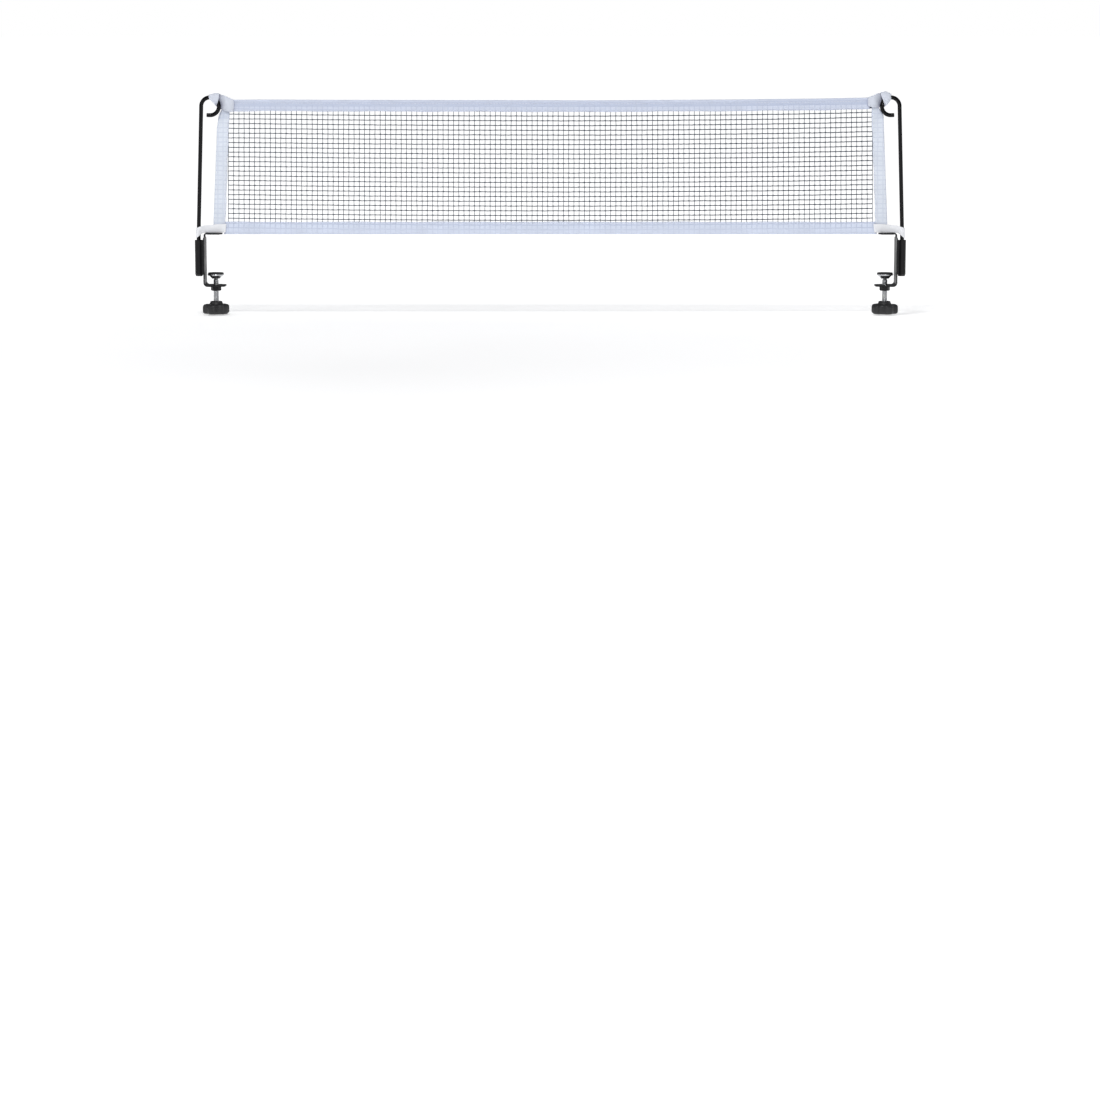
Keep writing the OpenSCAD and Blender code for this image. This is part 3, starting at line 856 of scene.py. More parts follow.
def row_of_stitches(pile, fn, s0, s1, pitch=3.2, length=2.35, seed=0):
    n = int((s1 - s0) // pitch)
    for i in range(n):
        a = s0 + i * pitch + 0.12 * math.sin(i * 2.7 + seed)
        p0, o = fn(a)
        p1, _ = fn(a + length)
        v, q, t = stitch(p0, p1, o)
        pile.add(v, q, t)


def tape_point(kind, side, d, extra=0.0):
    """A point on the outside of the top or bottom tape; side is -1 at the front and 1 at the back."""
    def fn(x):
        if kind == "top":
            line, w = front, TAPE_W
            ys = np.interp(d, [q[1] for q in front], [q[0] for q in front])
            low = d / TAPE_VIS
            pucker = 0.09 * math.sin(x * 2 * math.pi / 6.4) * math.exp(-((d - 11.6) / 1.2) ** 2) \
                + 0.07 * math.sin(x * 2 * math.pi / 6.4 + 1.4) * math.exp(-((d - 3.95) / 0.8) ** 2)
            z = float(top_edge(x)) - d + low ** 3 * (0.22 * math.sin(x / 17) + 0.16 * math.sin(x / 6.3 + 1))
            loose = low ** 2 * 0.16 * (1 + math.sin(x / 13.7 + 0.6) + 0.6 * math.sin(x / 5.1))
            y = side * (-ys * (1 + 0.05 * math.sin(x / 31)) + pucker + loose * 0.6 + 0.17)
        else:
            ys = np.interp(d, [q[1] for q in bf], [q[0] for q in bf])
            up = d / BOTTOM_VIS
            pucker = 0.08 * math.sin(x * 2 * math.pi / 6.4 + 2) * math.exp(-((d - 12.5) / 1.2) ** 2)
            loose = up ** 2 * 0.14 * (1 + math.sin(x / 11.9 + 2.2) + 0.6 * math.sin(x / 4.7)) * (1 - min(1, max(0, (abs(x) - 350) / 8)))
            z = d + up ** 3 * (0.2 * math.sin(x / 19 + 1) + 0.14 * math.sin(x / 7.1))
            y = side * (-ys + pucker + loose * 0.6 + 0.17)
        return np.array([x, y + float(billow(x, z)), z]), np.array([0, side, 0.0])
    return fn


def side_point(k, side, inset):
    def fn(z):
        x = net_half(z) - SIDE_W + inset
        s = min(1.0, z / 133.0)
        hw = 1.14 - 0.50 * s
        wave = 0.10 * math.sin(z / 8.5 + 1.1 * k) + 0.06 * math.sin(z / 3.3)
        pucker = 0.07 * math.sin(z * 2 * math.pi / 6.4) * math.exp(-((inset - 1.4) / 1.2) ** 2)
        y = side * (hw + pucker + 0.15) + wave * 0.5
        return np.array([k * x, y, z + float(lift(k * x, z))]), np.array([0, side, 0.0])
    return fn


pile = Pile()
for side in (-1, 1):
    row_of_stitches(pile, tape_point("top", side, 11.6), -348, 348, seed=side)
    row_of_stitches(pile, tape_point("top", side, 3.95), -348, 348, seed=2 + side)
top_stitches = finish_piece(pile.make("top_tape_stitches", fix_normals=False), M_THREAD, NET)
pile = Pile()
for side in (-1, 1):
    row_of_stitches(pile, tape_point("bottom", side, 12.5), -357, 357, seed=1 + side)
bottom_stitches = finish_piece(pile.make("bottom_tape_stitches", fix_normals=False), M_THREAD, NET)
for k, name in ((-1, "left"), (1, "right")):
    pile = Pile()
    for side in (-1, 1):
        row_of_stitches(pile, side_point(k, side, 1.4), 12.0, 131.0, seed=k + side)
    finish_piece(pile.make(f"{name}_side_tape_stitches", fix_normals=False), M_THREAD, NET)

# ---------------------------------------------------------------- cord in the top hem

CORD_END = 353.5
xs = np.arange(-CORD_END, CORD_END + 0.01, 1.01)
a = np.linspace(0, 2 * math.pi, 15, endpoint=False)
rings = np.zeros((len(xs), len(a), 3))
for i, x in enumerate(xs):
    turn = x * 2 * math.pi / 7.5
    r = 0.80 + 0.17 * np.abs(np.cos(1.5 * (a - turn)))
    zc = float(top_edge(x)) - 1.75
    rings[i] = np.stack([np.full_like(a, x), float(billow(x, zc)) + r * np.cos(a), zc + r * np.sin(a)], 1)
v = np.vstack([rings.reshape(-1, 3), [[xs[0], float(billow(xs[0], 146)), float(top_edge(xs[0])) - 1.75]],
               [[xs[-1], float(billow(xs[-1], 146)), float(top_edge(xs[-1])) - 1.75]]])
nr = len(xs) * 15
j = np.arange(15)
t = np.vstack([np.stack([np.full(15, nr), (j + 1) % 15, j], -1),
               np.stack([np.full(15, nr + 1), nr - 15 + j, nr - 15 + (j + 1) % 15], -1)])
hem_cord = finish_piece(make("hem_cord", v, grid_quads(len(xs), 15, close_v=True), t), M_CORD, NET, ["top_cord"])

# ---------------------------------------------------------------- wire posts

def post_line(k):
    """The middle line of a post's wire, from its foot to the end of its hook."""
    pts = [(POST_X, -42.0), (POST_X, -41.55)]
    pts += [(POST_X, z) for z in np.linspace(-40, -3, 12)]
    # small bend at the table's surface
    br = 60.0
    tb = br * math.tan(LEAN / 2)
    for f in np.linspace(0, 1, 9):
        a = LEAN * f
        pts.append((POST_X - br + br * math.cos(a), -tb + br * math.sin(a)))
    hx, hz = HOOK[0], HOOK[2]
    ux, uz = -math.sin(LEAN), math.cos(LEAN)          # along the leg
    nx, nz = math.cos(LEAN), math.sin(LEAN)           # out from the hook's centre to the leg
    top = (hx + HOOK_R * nx, hz + HOOK_R * nz)
    base = pts[-1]
    for f in np.linspace(0, 1, 40)[1:]:
        pts.append((base[0] + (top[0] - base[0]) * f, base[1] + (top[1] - base[1]) * f))
    for f in np.linspace(0, 1, 82)[1:]:
        a = LEAN + math.radians(270) * f
        pts.append((hx + HOOK_R * math.cos(a), hz + HOOK_R * math.sin(a)))
    end = pts[-1]
    # the straight end points back towards the leg
    for d in (0.8, 1.8, 2.8, 3.2, 3.42, 3.55, 3.6):
        pts.append((end[0] + nx * d, end[1] + nz * d))
    p = np.array(pts)
    return np.stack([k * p[:, 0], np.full(len(p), POST_Y), p[:, 1]], 1)


def wire_post(k, name):
    path = post_line(k)
    r = np.full(len(path), WIRE_R)
    r[0], r[1] = 1.72, 2.18
    r[-1], r[-2], r[-3] = 1.72, 2.02, 2.19
    v, q, t = tube_mesh(path, r, 32, start=(0, 1, 0))
    return make(name, v, q, t)


POSTS = {k: post_line(k) for k in (-1, 1)}
left_post = finish_piece(wire_post(-1, "left_post_wire"), M_WIRE, NET, ["left_wire_post"])
right_post = finish_piece(wire_post(1, "right_post_wire"), M_WIRE, NET, ["right_wire_post"])


def push_off_wire(P, k, gap):
    """Moves points out of the wire's reach; gap is from the wire's surface."""
    line = POSTS[k]
    flat = P.reshape(-1, 3)
    d = flat[:, None, :] - line[None, :, :]
    dist = np.linalg.norm(d, axis=2)
    i = dist.argmin(1)
    near = dist[np.arange(len(flat)), i]
    need = WIRE_R + gap
    m = near < need
    if m.any():
        dirs = d[np.arange(len(flat)), i][m] / np.maximum(near[m], 1e-6)[:, None]
        flat[m] = line[i[m]] + dirs * need
    return flat.reshape(P.shape)


def relax(P, target, k, gap, rounds=30, keep=0.12, smooth=0.35, pin=1):
    """Evens a ribbon out while it stays near its target and off the wire."""
    P = P.copy()
    for _ in range(rounds):
        L = np.zeros_like(P)
        L[1:-1] += (P[:-2] + P[2:]) / 2 - P[1:-1]
        L[:, 1:-1] += (P[:, :-2] + P[:, 2:]) / 2 - P[:, 1:-1]
        Q = P + smooth * L
        Q = Q * (1 - keep) + target * keep
        if pin:
            Q[:pin], Q[-pin:] = P[:pin], P[-pin:]
        P = push_off_wire(Q, k, gap)
    return P


SHAPES = {}


def tack(name, of, lengths, step=1.9):
    """Rows of stitches across a ribbon's ends; lengths are (distance along it, side of the net the stitches face)."""
    P, du, th = SHAPES[of]
    pile = Pile()
    across = np.gradient(P, axis=1)
    along = np.gradient(P, axis=0)
    for at, face in lengths:
        i = int(np.abs(du - (at if at > 0 else du[-1] + at)).argmin())
        row = P[i]
        n = np.cross(along[i], across[i])
        n /= np.linalg.norm(n, axis=1)[:, None]
        n *= np.sign(n[:, 1] * face)[:, None]
        s = np.concatenate([[0], np.cumsum(np.linalg.norm(np.diff(row, axis=0), axis=1))])
        top = row + n * (th / 2)

        def point(d):
            return np.array([np.interp(d, s, top[:, c]) for c in range(3)])

        d = 0.7
        while d + 1.35 < s[-1] - 0.5:
            j = int(np.abs(s - d - 0.7).argmin())
            v, q, t = stitch(point(d), point(d + 1.35), n[j], r=0.13, dip=0.16, rise=0.08)
            pile.add(v, q, t)
            d += step
    return finish_piece(pile.make(name, fix_normals=False), M_THREAD, NET)


def ribbon(name, k, rows, n, w, th=0.26, rounds=26, keep=0.10, wrinkle=None):
    """A ribbon lofted through rows of control points, each row running along it; rows go across its width."""
    along = np.array([spline(np.array(r, float) * (k, 1, 1), n) for r in rows])      # rows, n, 3
    t = np.linspace(0, 1, len(rows))
    tt = np.linspace(0, 1, w)
    P = np.zeros((n, w, 3))
    for i in range(n):
        P[i] = spline(along[:, i], w) if len(rows) > 2 else (along[0, i] * (1 - tt[:, None]) + along[1, i] * tt[:, None])
    if wrinkle is not None:
        P = wrinkle(P)
    P = push_off_wire(P, k, 0.22 + th / 2)
    P = relax(P, P.copy(), k, 0.22 + th / 2, rounds, keep)
    du = np.concatenate([[0], np.cumsum(np.linalg.norm(np.diff(P[:, w // 2], axis=0), axis=1))])
    dv = np.concatenate([[0], np.cumsum(np.linalg.norm(np.diff(P[0], axis=0), axis=1))])
    uv = np.stack(np.meshgrid(du, dv, indexing="ij"), -1)
    ob = thick_sheet(name, P, th, uv)
    SHAPES[name] = (P, du, th)
    ob["length_mm"], ob["width_mm"] = float(du[-1]), float(dv[-1])
    return ob


# Each row runs from the front seam, behind the hook's descending wire, through its eye, up over the front of the bend,
# over the top and down the back to the rear seam. x is the distance from the middle of the net.
LEFT_ROWS = [
    [(351.05, -1.25, 135.11), (348.63, -1.35, 134.67), (348.25, -1.85, 134.58), (349.64, -2.3, 134.48),
     (352.59, -2.6, 134.27), (356.12, -2.2, 135.35), (359.59, -1.4, 136.42), (362.72, -0.65, 137.49),
     (364.68, -0.6, 138.69), (366.13, -1.4, 139.69), (366.93, -3.3, 140.84), (368.54, -5.7, 142.64),
     (371.29, -6.4, 145.71), (374.31, -6.4, 148.76), (374.9, -5.6, 151.35), (374.9, -3.9, 153.1),
     (374.4, -1.6, 152.5), (372.2, -0.3, 149.6), (367.4, 0.5, 143.5), (360.6, 1.2, 137), (349.2, 1.32, 134.4)],
    [(351.01, -1.25, 137.94), (348.26, -1.35, 137.62), (347.65, -1.95, 137.64), (349.12, -2.8, 137.66),
     (352.33, -3.7, 137.36), (355.87, -3.3, 138.44), (359.5, -1.8, 139.7), (362.79, -0.65, 140.33),
     (364.67, -0.6, 139.45), (366.23, -1.5, 140.13), (366.81, -3.4, 141.06), (367.76, -5.8, 143.19),
     (369.51, -6.5, 146.8), (371.77, -6.4, 150.28), (372.37, -5.4, 152.98), (372.8, -3.7, 153.9),
     (372.2, -1.4, 153.1), (370.4, -0.1, 150.6), (366.6, 0.7, 146), (359.8, 1.35, 140.3), (349.2, 1.34, 137.8)],
    [(350.96, -1.25, 141.43), (348.1, -1.35, 141.22), (347.49, -2, 141.24), (348.94, -3, 141.37),
     (352.23, -4.2, 141.51), (355.77, -3.8, 142.59), (359.31, -2, 144.29), (362.84, -0.65, 144.15),
     (364.55, -0.6, 140.11), (366.22, -1.5, 140.46), (366.68, -3.5, 141.28), (366.97, -5.9, 143.63),
     (367.63, -6.5, 147.56), (369.13, -6.3, 151.04), (369.74, -5.2, 154.06), (370.2, -3.5, 154.6),
     (369.8, -1.1, 153.6), (368.2, 0.2, 151.8), (364.6, 0.9, 148.6), (358.8, 1.45, 144.2), (349.2, 1.34, 141.4)],
    [(350.91, -1.25, 144.92), (348.27, -1.35, 144.93), (347.66, -1.95, 144.94), (349.13, -2.7, 145.29),
     (352.45, -3.5, 146.29), (355.98, -3.1, 147.8), (359.49, -1.6, 149.51), (363, -0.65, 148.51),
     (364.33, -0.6, 140.76), (366.21, -1.6, 140.79), (366.46, -3.5, 141.49), (366.1, -5.8, 143.95),
     (365.88, -6.4, 147.89), (366.4, -6.1, 151.58), (366.92, -4.8, 154.92), (367.5, -3.1, 154.8),
     (367.1, -0.9, 153.9), (365.8, 0.3, 152.9), (362.4, 0.95, 151), (357.4, 1.4, 148), (349.2, 1.3, 145)],
    [(350.87, -1.2, 147.97), (348.78, -1.3, 148.09), (348.3, -1.7, 148.21), (349.7, -1.9, 148.65),
     (352.53, -2, 149.85), (356.26, -1.8, 151.48), (359.81, -1.2, 152.88), (363.16, -0.65, 152.54),
     (364.09, -0.6, 141.64), (366.1, -1.6, 141.12), (366.25, -3.4, 141.82), (365.36, -5.5, 144.16),
     (364.15, -6.1, 147.88), (363.56, -6, 151.8), (363.84, -4.9, 154.71), (364.8, -2.8, 154.7),
     (364.3, -0.9, 154.3), (363.4, 0.2, 153.8), (360.6, 0.8, 152.6), (356, 1.15, 150.6), (349.2, 1.22, 148)],
]

RIGHT_ROWS = [
    [(352.29, -1.25, 140.89), (349.64, -1.35, 140.67), (349.16, -1.85, 140.69), (350.55, -2.3, 140.37),
     (353.28, -2.6, 139.73), (356.4, -2.2, 139.28), (359.33, -1.4, 139.26), (362.91, -0.65, 139.24),
     (364.9, -0.6, 139.13), (366.45, -1.5, 139.7), (367.45, -3.6, 140.63), (369.81, -6.2, 142.66),
     (372.32, -7, 145.72), (373.83, -6.8, 148.99), (373.68, -5.6, 151.89), (374.6, -3.6, 153.9), (373.9, -1, 152.6),
     (371.6, 0.1, 149), (366.8, 0.6, 142.6), (359.4, 1.2, 139), (348.6, 1.32, 137.6)],
    [(352.26, -1.25, 143.07), (349.17, -1.35, 142.96), (348.68, -1.95, 142.98), (350.14, -2.8, 142.89),
     (353.36, -3.7, 142.59), (356.68, -3.4, 142.58), (359.67, -1.9, 142.54), (362.76, -0.65, 142.07),
     (364.89, -0.6, 139.78), (366.33, -1.6, 140.14), (367.21, -3.8, 141.07), (368.87, -6.7, 143.98),
     (370.57, -7.8, 147.92), (372.08, -7.5, 151.4), (372.21, -5.8, 153.97), (373, -3.4, 155), (372.3, -0.8, 153.9),
     (370.2, 0.3, 151), (365.8, 0.9, 146.6), (358.6, 1.4, 142.6), (348.6, 1.36, 140.6)],
    [(352.22, -1.25, 145.8), (349.13, -1.35, 145.8), (348.63, -2, 145.82), (350.08, -3, 145.95),
     (353.28, -4, 146.08), (356.6, -3.7, 146.51), (359.61, -2, 146.69), (362.49, -0.65, 145.89),
     (364.77, -0.6, 140.33), (366.2, -1.7, 140.57), (366.96, -4, 141.62), (367.74, -6.9, 145.07),
     (368.36, -7.8, 149.45), (369.33, -7.4, 153.03), (369.81, -5.4, 155.59), (370.6, -3, 155.9), (370, -0.6, 154.9),
     (368.2, 0.5, 152.8), (364, 1.1, 149.8), (358, 1.5, 146.4), (348.6, 1.36, 144)],
    [(352.18, -1.25, 148.52), (349.2, -1.35, 148.52), (348.71, -1.95, 148.65), (350.08, -2.6, 148.99),
     (353.07, -3.4, 149.66), (356.38, -3.1, 150.42), (359.35, -1.7, 151.04), (362.21, -0.65, 149.92),
     (364.65, -0.6, 140.87), (366.09, -1.7, 141.01), (366.61, -4.1, 142.16), (366.55, -6.6, 145.71),
     (366.1, -7.2, 150.08), (365.85, -6.9, 153.78), (366.56, -4.8, 156.77), (367.4, -2.6, 156.2),
     (366.8, -0.5, 155.4), (365.2, 0.6, 153.9), (361.8, 1.1, 152.4), (356.8, 1.45, 150), (348.6, 1.32, 147.4)],
    [(352.16, -1.2, 150.59), (349.51, -1.3, 150.48), (349.04, -1.7, 150.6), (350.33, -1.9, 150.93),
     (353.16, -2, 151.92), (356.46, -1.8, 153.22), (359.35, -1.2, 154.73), (362.04, -0.65, 154.28),
     (364.53, -0.6, 141.53), (365.97, -1.7, 141.45), (366.29, -4, 142.71), (365.39, -6, 146.13),
     (363.99, -6.3, 150.06), (362.42, -6.2, 153.32), (362.07, -4.8, 155.69), (364.2, -2.2, 156),
     (363.8, -0.5, 155.5), (362.6, 0.4, 154.9), (359.6, 0.9, 153.8), (355.6, 1.25, 152.4), (348.6, 1.24, 150.2)],
]


def crumple(seed, amp):
    def fn(P):
        n, w = P.shape[:2]
        i, j = np.meshgrid(np.linspace(0, 1, n), np.linspace(0, 1, w), indexing="ij")
        du, dv = np.gradient(P, axis=0), np.gradient(P, axis=1)
        nn = np.cross(du, dv)
        nn /= np.maximum(np.linalg.norm(nn, axis=2)[..., None], 1e-9)
        near = np.exp(-((i - 0.33) / 0.13) ** 2) + 0.7 * np.exp(-((i - 0.72) / 0.12) ** 2)
        h = amp * near * np.sin(j * 2 * math.pi * 2.6 + seed + 3 * i) \
            + 0.35 * amp * np.sin(i * 21 + j * 5 + seed) * np.clip(i * 8, 0, 1) * np.clip((1 - i) * 8, 0, 1)
        return P + nn * h[..., None]
    return fn


left_tie = finish_piece(ribbon("left_tie_ribbon", -1, LEFT_ROWS, 132, 27, rounds=7, keep=0.45, wrinkle=crumple(0.6, 0.16)), M_RIBBON, NET, ["left_top_tie"])
right_tie = finish_piece(ribbon("right_tie_ribbon", 1, RIGHT_ROWS, 132, 27, rounds=7, keep=0.45, wrinkle=crumple(2.4, 0.20)), M_RIBBON, NET, ["right_top_tie"])

# ---------------------------------------------------------------- bottom straps

def strap_rows(k):
    """Plan of the strap, with the heights of its lower and upper edges at each point."""
    end = 358.6 if k < 0 else 357.6
    plan = [  # x, y, lower z, upper z
        (end + 3.4, -1.52, 2.35, 11.2), (end + 0.3, -1.58, 2.2, 11.4), (end, -1.85, 2.1, 11.5), (end + 1.0, -2.15, 2.1, 11.5),
        (364.5, -1.9, 2.1, 11.5), (370.0, -1.82, 2.0, 11.2), (375.5, -2.35, 1.98, 10.7),
        (380.5, -3.55, 1.95, 10.1), (383.4, -4.75, 1.9, 9.7), (385.6, -5.65, 0.4, 9.1), (388.0, -6.2, -1.9, 8.3),
        (390.3, -5.6, -3.5, 7.4), (391.3, -3.5, -3.9, 7.1), (390.4, -1.3, -3.4, 7.4), (388.2, -0.45, -1.7, 8.2),
        (385.6, -0.55, 0.5, 9.0), (383.4, -0.2, 1.9, 9.6), (379.0, 0.55, 1.95, 10.2), (373.0, 1.3, 2.0, 10.8),
        (367.0, 1.5, 2.05, 11.2), (end, 1.5, 2.15, 11.4)]
    rows = []
    for f in (0.0, 0.5, 1.0):
        rows.append([(x - (1.3 * f if i < 4 else 0), y + (0.12 * math.sin(i * 1.7 + k) if 0 < f < 1 else 0), lo + (hi - lo) * f)
                     for i, (x, y, lo, hi) in enumerate(plan)])
    return rows


def strap_wrinkle(seed):
    def fn(P):
        n, w = P.shape[:2]
        i, j = np.meshgrid(np.linspace(0, 1, n), np.linspace(0, 1, w), indexing="ij")
        calm = np.clip(i * 10, 0, 1) * np.clip((1 - i) * 10, 0, 1)
        h = calm * (0.16 * np.sin(i * 26 + j * 2.2 + seed) + 0.10 * np.sin(i * 11 - j * 4.0 + seed))
        P = P.copy()
        P[..., 1] += h * np.where(P[..., 1] < -1.2, -1, 0.6)
        return P
    return fn


left_strap = finish_piece(ribbon("left_strap", -1, strap_rows(-1), 120, 15, th=0.3, rounds=10, keep=0.3, wrinkle=strap_wrinkle(0.3)),
                          M_STRAP, NET, ["left_bottom_loop"])
right_strap = finish_piece(ribbon("right_strap", 1, strap_rows(1), 120, 15, th=0.3, rounds=10, keep=0.3, wrinkle=strap_wrinkle(1.9)),
                           M_STRAP, NET, ["right_bottom_loop"])

for part, at in (("left_tie_ribbon", [(4.6, -1), (6.3, -1), (-1.6, 1), (-3.3, 1)]), ("right_tie_ribbon", [(4.6, -1), (6.3, -1), (-1.6, 1), (-3.3, 1)]),
                 ("left_strap", [(5.4, -1), (-1.6, 1)]), ("right_strap", [(5.4, -1), (-1.6, 1)])):
    tack(part + "_stitches", part, at)

# ---------------------------------------------------------------- clamps

def soften(ob, mat, width=0.3, segments=3, angle=32):
    """A carried-over CAD node gets rounded edges and its finish; its mesh isn't touched."""
    ob.data.materials.clear()
    ob.data.materials.append(mat)
    for p in ob.data.polygons:
        p.use_smooth = True
    w = ob.modifiers.new("weld", "WELD")
    w.merge_threshold = 2e-6
    b = ob.modifiers.new("bevel", "BEVEL")
    b.width, b.segments, b.limit_method, b.angle_limit = width * MM, segments, "ANGLE", math.radians(angle)
    b.harden_normals = True
    b.use_clamp_overlap = True
    n = ob.modifiers.new("normals", "WEIGHTED_NORMAL")
    n.keep_sharp = True


def bead(pile, path, r, pitch=1.3, seed=0.0, squash=None):
    """A weld bead: overlapping ripples along a path."""
    path = np.asarray(path, float)
    s = np.concatenate([[0], np.cumsum(np.linalg.norm(np.diff(path, axis=0), axis=1))])
    n = max(8, int(s[-1] / 0.22))
    at = np.linspace(0, s[-1], n)
    p = np.stack([np.interp(at, s, path[:, c]) for c in range(3)], 1)
    f = (at / pitch) % 1.0
    ends = np.clip(np.minimum(at, s[-1] - at) / 1.2, 0, 1) ** 0.5
    rr = r * (0.86 + 0.16 * np.sqrt(np.clip(1 - (2 * f - 1) ** 2, 0, 1)) + 0.05 * np.sin(at * 2.1 + seed)) * (0.25 + 0.75 * ends)
    v, q, t = tube_mesh(p, rr, 12)
    pile.add(v, q, t)


def lobed(theta0):
    """Radius of the five-lobed outline at every degree, with its horns rounded."""
    a = np.radians(np.arange(0, 360, 0.5))
    r = np.full(len(a), 15.0)
    for i in range(5):
        c = math.radians(theta0 + 72 * i)
        d = (a - c + math.pi) % (2 * math.pi) - math.pi
        s = 6.5 ** 2 - (18.2 * np.sin(d)) ** 2
        hit = (s > 0) & (np.abs(d) < 0.5)
        rr = 18.2 * np.cos(d) - np.sqrt(np.clip(s, 0, None))
        r = np.where(hit, np.minimum(r, rr), r)
    k = np.exp(-(np.arange(-16, 17) / 6.5) ** 2)
    k /= k.sum()
    rp = np.concatenate([r[-16:], r, r[:16]])
    return a, np.minimum(np.convolve(rp, k, "valid"), 15.0)


def knob_mesh(name, cx, cy, theta0):
    ang, rad = lobed(theta0)
    sides = 160
    a = np.linspace(0, 2 * math.pi, sides, endpoint=False)
    outline = np.interp(a, ang, rad, period=2 * math.pi)
    zb = -87.6
    # (fraction of the lobed outline, inset from it, plain radius, z): lobed rings use inset, plain ones radius
    prof = []
    prof += [("r", 0.4, zb + 3.0), ("r", 5.6, zb + 3.0), ("r", 5.95, zb + 2.9), ("r", 6.05, zb + 2.6), ("r", 6.05, zb + 0.35), ("r", 6.3, zb + 0.06),
             ("r", 6.7, zb), ("r", 8.4, zb), ("m", 0.25, zb + 0.0), ("l", 3.2, zb + 0.02), ("l", 2.0, zb + 0.16), ("l", 1.15, zb + 0.55),
             ("l", 0.5, zb + 1.15), ("l", 0.12, zb + 1.9), ("l", 0.0, zb + 2.8), ("l", 0.0, zb + 4.6), ("l", 0.0, zb + 6.4), ("l", 0.05, zb + 7.6),
             ("l", 0.28, zb + 8.7), ("l", 0.75, zb + 9.5), ("l", 1.5, zb + 10.15), ("l", 2.5, zb + 10.55), ("l", 3.4, zb + 10.72),
             ("m", 0.35, zb + 10.8), ("r", 7.9, zb + 10.84), ("r", 7.6, zb + 11.0), ("r", 7.35, zb + 11.4), ("r", 6.75, zb + 12.8),
             ("r", 6.55, zb + 13.5), ("r", 6.35, zb + 13.86), ("r", 6.0, zb + 14.0), ("r", 3.5, zb + 14.0), ("r", 3.2, zb + 13.9), ("r", 3.04, zb + 13.6), ("r", 3.04, zb + 12.6)]
    rings = []
    for kind, val, z in prof:
        if kind == "r":
            r = np.full(sides, val)
        elif kind == "l":
            r = outline - val
        else:
            r = 8.0 + (outline - 3.6 - 8.0) * val
        rings.append(np.stack([cx + r * np.cos(a), cy + r * np.sin(a), np.full(sides, z)], 1))
    V = np.array(rings)
    v = V.reshape(-1, 3)
    q = grid_quads(len(prof), sides, close_v=True)
    c0, c1 = len(v), len(v) + 1
    v = np.vstack([v, [[cx, cy, prof[0][2]]], [[cx, cy, prof[-1][2]]]])
    j = np.arange(sides)
    last = (len(prof) - 1) * sides
    t = np.vstack([np.stack([np.full(sides, c0), (j + 1) % sides, j], -1),
                   np.stack([np.full(sides, c1), last + j, last + (j + 1) % sides], -1)])
    return make(name, v, q, t)


def cap_mesh(name, cx, cy):
    zb = -88.2
    prof = [(0.3, zb + 0.0), (2.5, zb + 0.03), (4.4, zb + 0.12), (5.2, zb + 0.26), (5.62, zb + 0.5), (5.82, zb + 0.85), (5.85, zb + 1.3), (5.85, zb + 2.1), (5.4, zb + 2.14), (0.3, zb + 2.14)]
    return revolve(name, prof, cx, cy, 64, close=False)


def screw_mesh(name, cx, cy):
    """M6 by 1 right-hand thread, a neck, and the head that the foot is swaged round."""
    z0, z1 = -84.6, -49.62
    sides, step = 40, 0.125
    zs = np.arange(z0, z1 + 1e-6, step)
    a = np.linspace(0, 2 * math.pi, sides, endpoint=False)
    ph = (zs[:, None] - a[None, :] / (2 * math.pi)) % 1.0
    tri = np.abs(ph - 0.5) * 2                       # 1 at the crest's middle, 0 at the root's
    prof = np.clip((tri - 0.14) / 0.66, 0, 1)
    r = 2.46 + 0.53 * prof
    lead = np.clip((zs - z0) / 1.0, 0, 1) * np.clip((z1 - zs) / 0.9, 0, 1)
    r = np.minimum(r, (2.35 + 0.65 * lead)[:, None])
    V = np.stack([cx + r * np.cos(a), cy + r * np.sin(a), np.repeat(zs[:, None], sides, 1)], -1)
    tail = [(2.3, -49.55), (2.05, -49.2), (1.86, -48.95), (1.8, -48.7), (1.8, -46.95), (2.0, -46.82), (2.45, -46.78),
            (2.58, -46.6), (2.58, -45.7), (2.45, -45.42), (2.2, -45.32), (1.2, -45.3)]
    more = np.array([np.stack([cx + rr * np.cos(a), cy + rr * np.sin(a), np.full(sides, zz)], 1) for rr, zz in tail])
    V = np.concatenate([V, more])
    n = len(V)
    v = V.reshape(-1, 3)
    q = grid_quads(n, sides, close_v=True)
    c0, c1 = len(v), len(v) + 1
    v = np.vstack([v, [[cx, cy, z0]], [[cx, cy, -45.3]]])
    j = np.arange(sides)
    t = np.vstack([np.stack([np.full(sides, c0), (j + 1) % sides, j], -1),
                   np.stack([np.full(sides, c1), (n - 1) * sides + j, (n - 1) * sides + (j + 1) % sides], -1)])
    return make(name, v, q, t)


def foot_mesh(name, cx, cy):
    zf = -48.5
    outer = fillet([(1.88, zf), (4.5, zf), (7.5, zf + 3.4), (9.0, zf + 3.4), (9.0, zf + 5.0), (2.0, zf + 5.0), (2.0, zf + 3.28),
                    (2.68, zf + 3.28), (2.68, zf + 1.62), (1.88, zf + 1.62)],
                   [0.15, 0.45, 0.5, 0.45, 0.35, 0.2, 0.05, 0.1, 0.1, 0.1], steps=5, closed=True)
    return revolve(name, outer, cx, cy, 72)


def foot_pad_mesh(name, cx, cy):
    zp = -43.5
    pts = [(0.3, zp), (8.2, zp), (8.7, zp + 0.12), (8.7, zp + 1.1), (8.58, zp + 1.36), (8.3, zp + 1.5)]
    r = 7.6
    while r > 1.4:
        pts += [(r + 0.32, zp + 1.5), (r + 0.12, zp + 1.18), (r - 0.12, zp + 1.18), (r - 0.32, zp + 1.5)]
        r -= 1.25
    pts += [(0.3, zp + 1.5)]
    return revolve(name, pts, cx, cy, 72, close=False)


